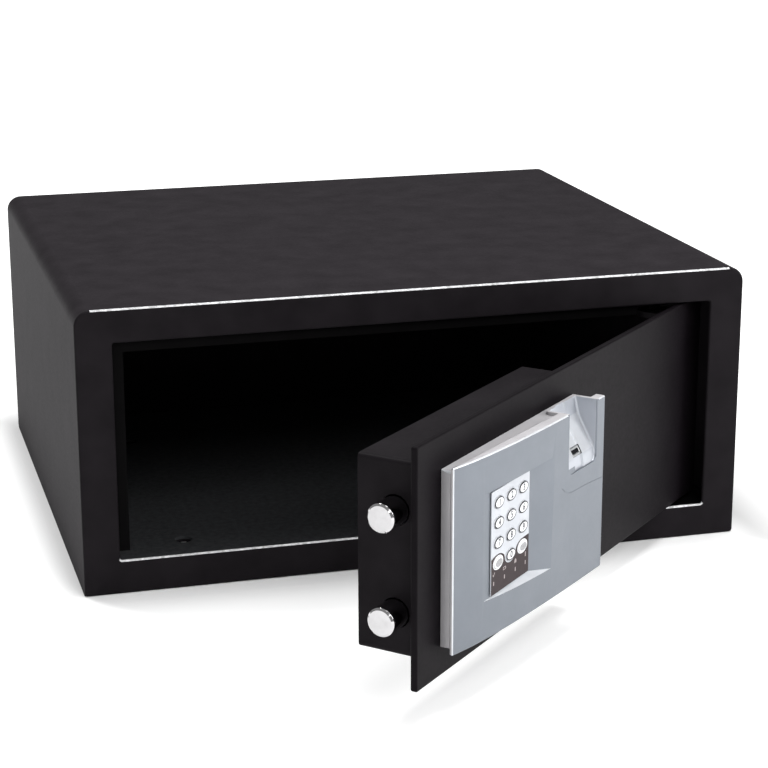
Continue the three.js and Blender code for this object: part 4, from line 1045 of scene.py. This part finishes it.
def make_keys():
    """Twelve oval keys. The two side keys have a plain oval on them and a pale ring round them."""
    face = KEYPAD_N + KEY_PROUD
    profile = key_profile(face)
    for name, x, z in key_places():
        node = f"key_{name}"
        parts = [(lathe(profile, 56, "y", (x, 0, z), KEY_HALF[1] / KEY_HALF[0]), 0)]
        if name in SIDE_KEYS:
            parts.append((prism([oval(x, z, *KEY.oval)], -face - 0.14, -face + 0.2), 2))
        else:
            parts += number_marks(name, x, z, face)
        mesh = merged(parts, node)
        for material in ("key_white", "grey_print_and_painted_shade", "mid_print"):
            mesh.materials.append(MATERIALS[material])
        piece(f"{node}_button", mesh, "key_white", node, [node], LEAF_FRAME, 40)
        if name in SIDE_KEYS:
            halo = ring(x, z, KEY.halo, KEY.halo_width, KEYPAD_N, KEYPAD_N + 0.09)
            piece(f"{node}_halo", halo, "key_white", "door", (), LEAF_FRAME)


def sign_outlines():
    """Each sign's outlines round its own centre."""
    return {
        "tick": [[(-1.3, 0.1), (-0.9, 0.5), (-0.4, -0.2), (1.0, 1.4), (1.4, 1.0), (-0.4, -1.1)]],
        "cell": [
            [(-1.7, -0.9), (1.3, -0.9), (1.3, -0.4), (1.8, -0.4), (1.8, 0.4), (1.3, 0.4), (1.3, 0.9),
             (-1.7, 0.9)],
            rectangle(-1.2, 0.9, -0.5, 0.5),
        ],
        "lock": [
            [(-1.2, -1.2), (1.2, -1.2), (1.2, 0.3), (0.9, 0.3)] + arc(0, 0.3, 0.9, 0, 180, 8) + [(-1.2, 0.3)],
        ],
        "bar": [rectangle(-0.5, 0.5, -1.3, 1.3)],
    }


def make_indicators():
    """Four plain signs on the dark part of the foil, each over a small window for its lamp."""
    back = -PRINT_N + 0.06
    for name, outlines in sign_outlines().items():
        x, half = SIGN_X[name], WINDOW.half
        moved = [[(x + u, SIGN_Z + v) for u, v in outline] for outline in outlines]
        piece(f"sign_{name}", prism(moved, -PRINT_N - 0.04, back), "pale_print", "door", (), LEAF_FRAME)
        window = rounded(x - half, x + half, WINDOW.low, WINDOW.high, WINDOW.corner, steps=4)
        lamp = prism([window], -PRINT_N - 0.05, back)
        piece(f"lamp_{name}", lamp, "pale_print", "door", (), LEAF_FRAME)


def make_sensor():
    """The finger sensor: a frame with a glass strip in it."""
    wide, high = SENSOR.width / 2, SENSOR.height / 2
    glass_wide, glass_high = SENSOR.window / 2, SENSOR.window_height / 2
    hole_wide, hole_high = glass_wide + SENSOR.gap, glass_high + SENSOR.gap
    outer = rounded(-wide, wide, -high, high, 0.5, steps=4)
    hole = rounded(-hole_wide, hole_wide, -hole_high, hole_high, 0.3, steps=4)
    rim = prism([outer, hole], -0.3, 1.2, edge0=0.25, steps=3)
    bezel = boolean(rim, [prism([outer], 1.15, 3.2)], "UNION")
    strip = rounded(-glass_wide, glass_wide, -glass_high, glass_high, 0.25, steps=4)
    glass = prism([strip], -0.2, 1.0, edge0=0.15, steps=2)
    matrix = LEAF_FRAME @ sensor_matrix()
    piece("sensor_bezel", bezel, "zinc_plate", "door", ["sensor_frame"], matrix)
    piece("sensor_strip", glass, "sensor_glass", "door", ["sensor_window"], matrix)


# Surroundings
def make_camera():
    """The photograph's view, as fitted to the cabinet's corners."""
    azimuth, elevation, roll = map(math.radians, (CAMERA.azimuth, CAMERA.elevation, CAMERA.roll))
    ca, sa, ce, se = math.cos(azimuth), math.sin(azimuth), math.cos(elevation), math.sin(elevation)
    forward = Vector((sa * ce, ca * ce, -se))
    right = Vector((ca, -sa, 0))
    up = right.cross(forward)
    turned_right = math.cos(roll) * right + math.sin(roll) * up
    turned_up = -math.sin(roll) * right + math.cos(roll) * up
    basis = Matrix((turned_right, turned_up, -forward)).transposed().to_4x4()
    data = bpy.data.cameras.new("camera")
    data.sensor_width = FILM_WIDTH
    data.lens = LENS
    data.clip_end = 50
    camera = linked("camera", data)
    camera.matrix_world = Matrix.Translation(CAMERA.place) @ basis
    bpy.context.scene.camera = camera


def maths(operation, *values):
    """A math node over values: first a socket, then sockets or numbers."""
    tree = values[0].id_data
    node = tree.nodes.new("ShaderNodeMath")
    node.operation = operation
    for slot, value in zip(node.inputs, values):
        if isinstance(value, (int, float)):
            slot.default_value = value
        else:
            tree.links.new(value, slot)
    return node.outputs[0]


def ranged(value, start, end, low, high):
    """From low to high, softly, while value goes from start to end."""
    tree = value.id_data
    node = tree.nodes.new("ShaderNodeMapRange")
    node.interpolation_type = "SMOOTHSTEP"
    for slot, number in zip(list(node.inputs)[1:5], (start, end, low, high)):
        slot.default_value = number
    tree.links.new(value, node.inputs["Value"])
    return node.outputs["Result"]


def white_for_camera(tree):
    """One where the camera, a reflection or a clear material looks, and nought for light on the object."""
    rays = tree.nodes.new("ShaderNodeLightPath").outputs
    seen = maths("MAXIMUM", rays["Is Camera Ray"], rays["Is Glossy Ray"])
    return maths("MAXIMUM", seen, rays["Is Transmission Ray"])


def floor_white_with_painted_shading(tree):
    """The floor's own white: none under the cabinet and rising round it as painted shade, more to its left as
    painted light, and little to its right as a painted shadow band.
    """
    close, painted_light_left, painted_shadow_right = 0.36, 0.3, 0.34
    half_width = WIDTH / 2 * MM
    place = tree.nodes.new("ShaderNodeSeparateXYZ")
    tree.links.new(tree.nodes.new("ShaderNodeTexCoord").outputs["Object"], place.inputs[0])
    x, y = place.outputs["X"], place.outputs["Y"]
    beside = maths("SUBTRACT", maths("ABSOLUTE", x), half_width)
    behind = maths("SUBTRACT", maths("ABSOLUTE", y), DEPTH / 2 * MM)
    outside = maths("MAXIMUM", beside, behind)
    left = maths("SUBTRACT", maths("MULTIPLY", x, -1.0), half_width)
    right = maths("SUBTRACT", x, half_width)
    along = ranged(behind, -0.03, 0.1, 1.0, 0.0)
    # A painted light on the floor along the cabinet's left side.
    more = ranged(left, 0.0, 0.02, 0.0, painted_light_left)
    # A painted shadow band on the floor along the cabinet's right side.
    band_start = ranged(right, 0.0, 0.02, 0.0, painted_shadow_right)
    band_end = ranged(right, 0.03, 0.1, 0.0, painted_shadow_right)
    less = maths("SUBTRACT", band_start, band_end)
    near = ranged(outside, 0.0, 0.05, 0.0, close)
    near = maths("ADD", near, maths("MULTIPLY", more, along))
    near = maths("SUBTRACT", near, maths("MULTIPLY", less, along))
    return maths("ADD", near, ranged(outside, 0.2, 1.2, 0.0, 0.6))


def floor_material():
    material = bpy.data.materials.new("floor")
    tree = cleared(material)
    output = tree.nodes.new("ShaderNodeOutputMaterial")
    diffuse = tree.nodes.new("ShaderNodeBsdfDiffuse")
    diffuse.inputs["Color"].default_value = (0.9, 0.9, 0.9, 1)
    glow = tree.nodes.new("ShaderNodeEmission")
    glow.inputs["Color"].default_value = (1, 1, 1, 1)
    strength = maths("MULTIPLY", floor_white_with_painted_shading(tree), white_for_camera(tree))
    tree.links.new(strength, glow.inputs["Strength"])
    both = tree.nodes.new("ShaderNodeAddShader")
    tree.links.new(diffuse.outputs[0], both.inputs[0])
    tree.links.new(glow.outputs[0], both.inputs[1])
    tree.links.new(both.outputs[0], output.inputs["Surface"])
    return material


def make_floor():
    """A white floor, a hair below the cabinet."""
    bm = bmesh.new()
    bmesh.ops.create_grid(bm, x_segments=1, y_segments=1, size=30)
    mesh = mesh_of(bm, "floor")
    mesh.materials.append(floor_material())
    floor = linked("floor", mesh)
    floor.location = (0, 0, -0.0002)


def make_world():
    world = bpy.data.worlds.new("studio")
    bpy.context.scene.world = world
    tree = cleared(world)
    output = tree.nodes.new("ShaderNodeOutputWorld")
    background = tree.nodes.new("ShaderNodeBackground")
    background.inputs["Color"].default_value = (1, 1, 1, 1)
    background.inputs["Strength"].default_value = ROOM_LIGHT
    tree.links.new(background.outputs[0], output.inputs["Surface"])


def make_lamps():
    for name, (place, target, size, power) in LAMPS.items():
        data = bpy.data.lights.new(name, "AREA")
        data.shape = "RECTANGLE"
        data.size, data.size_y = size
        data.energy = power
        lamp = linked(name, data)
        lamp.location = place
        lamp.rotation_euler = (Vector(target) - Vector(place)).to_track_quat("-Z", "Y").to_euler()


make_camera()
make_shell()
make_front()
make_back()
dressed("base_plate", 0.4, "cabinet")
make_inner_metal()
make_mat()
make_leaf()
dressed("hinge_strap", 0.4, "door")
dressed("lock_case", 0.7, "door", 40)
dressed("battery_lid", 0.5, "door")
make_bolts()
make_cover()
make_housing()
make_foil()
make_keys()
make_indicators()
make_sensor()
make_world()
make_floor()
make_lamps()

bpy.context.scene.view_settings.view_transform = "Standard"
bpy.context.view_layer.update()
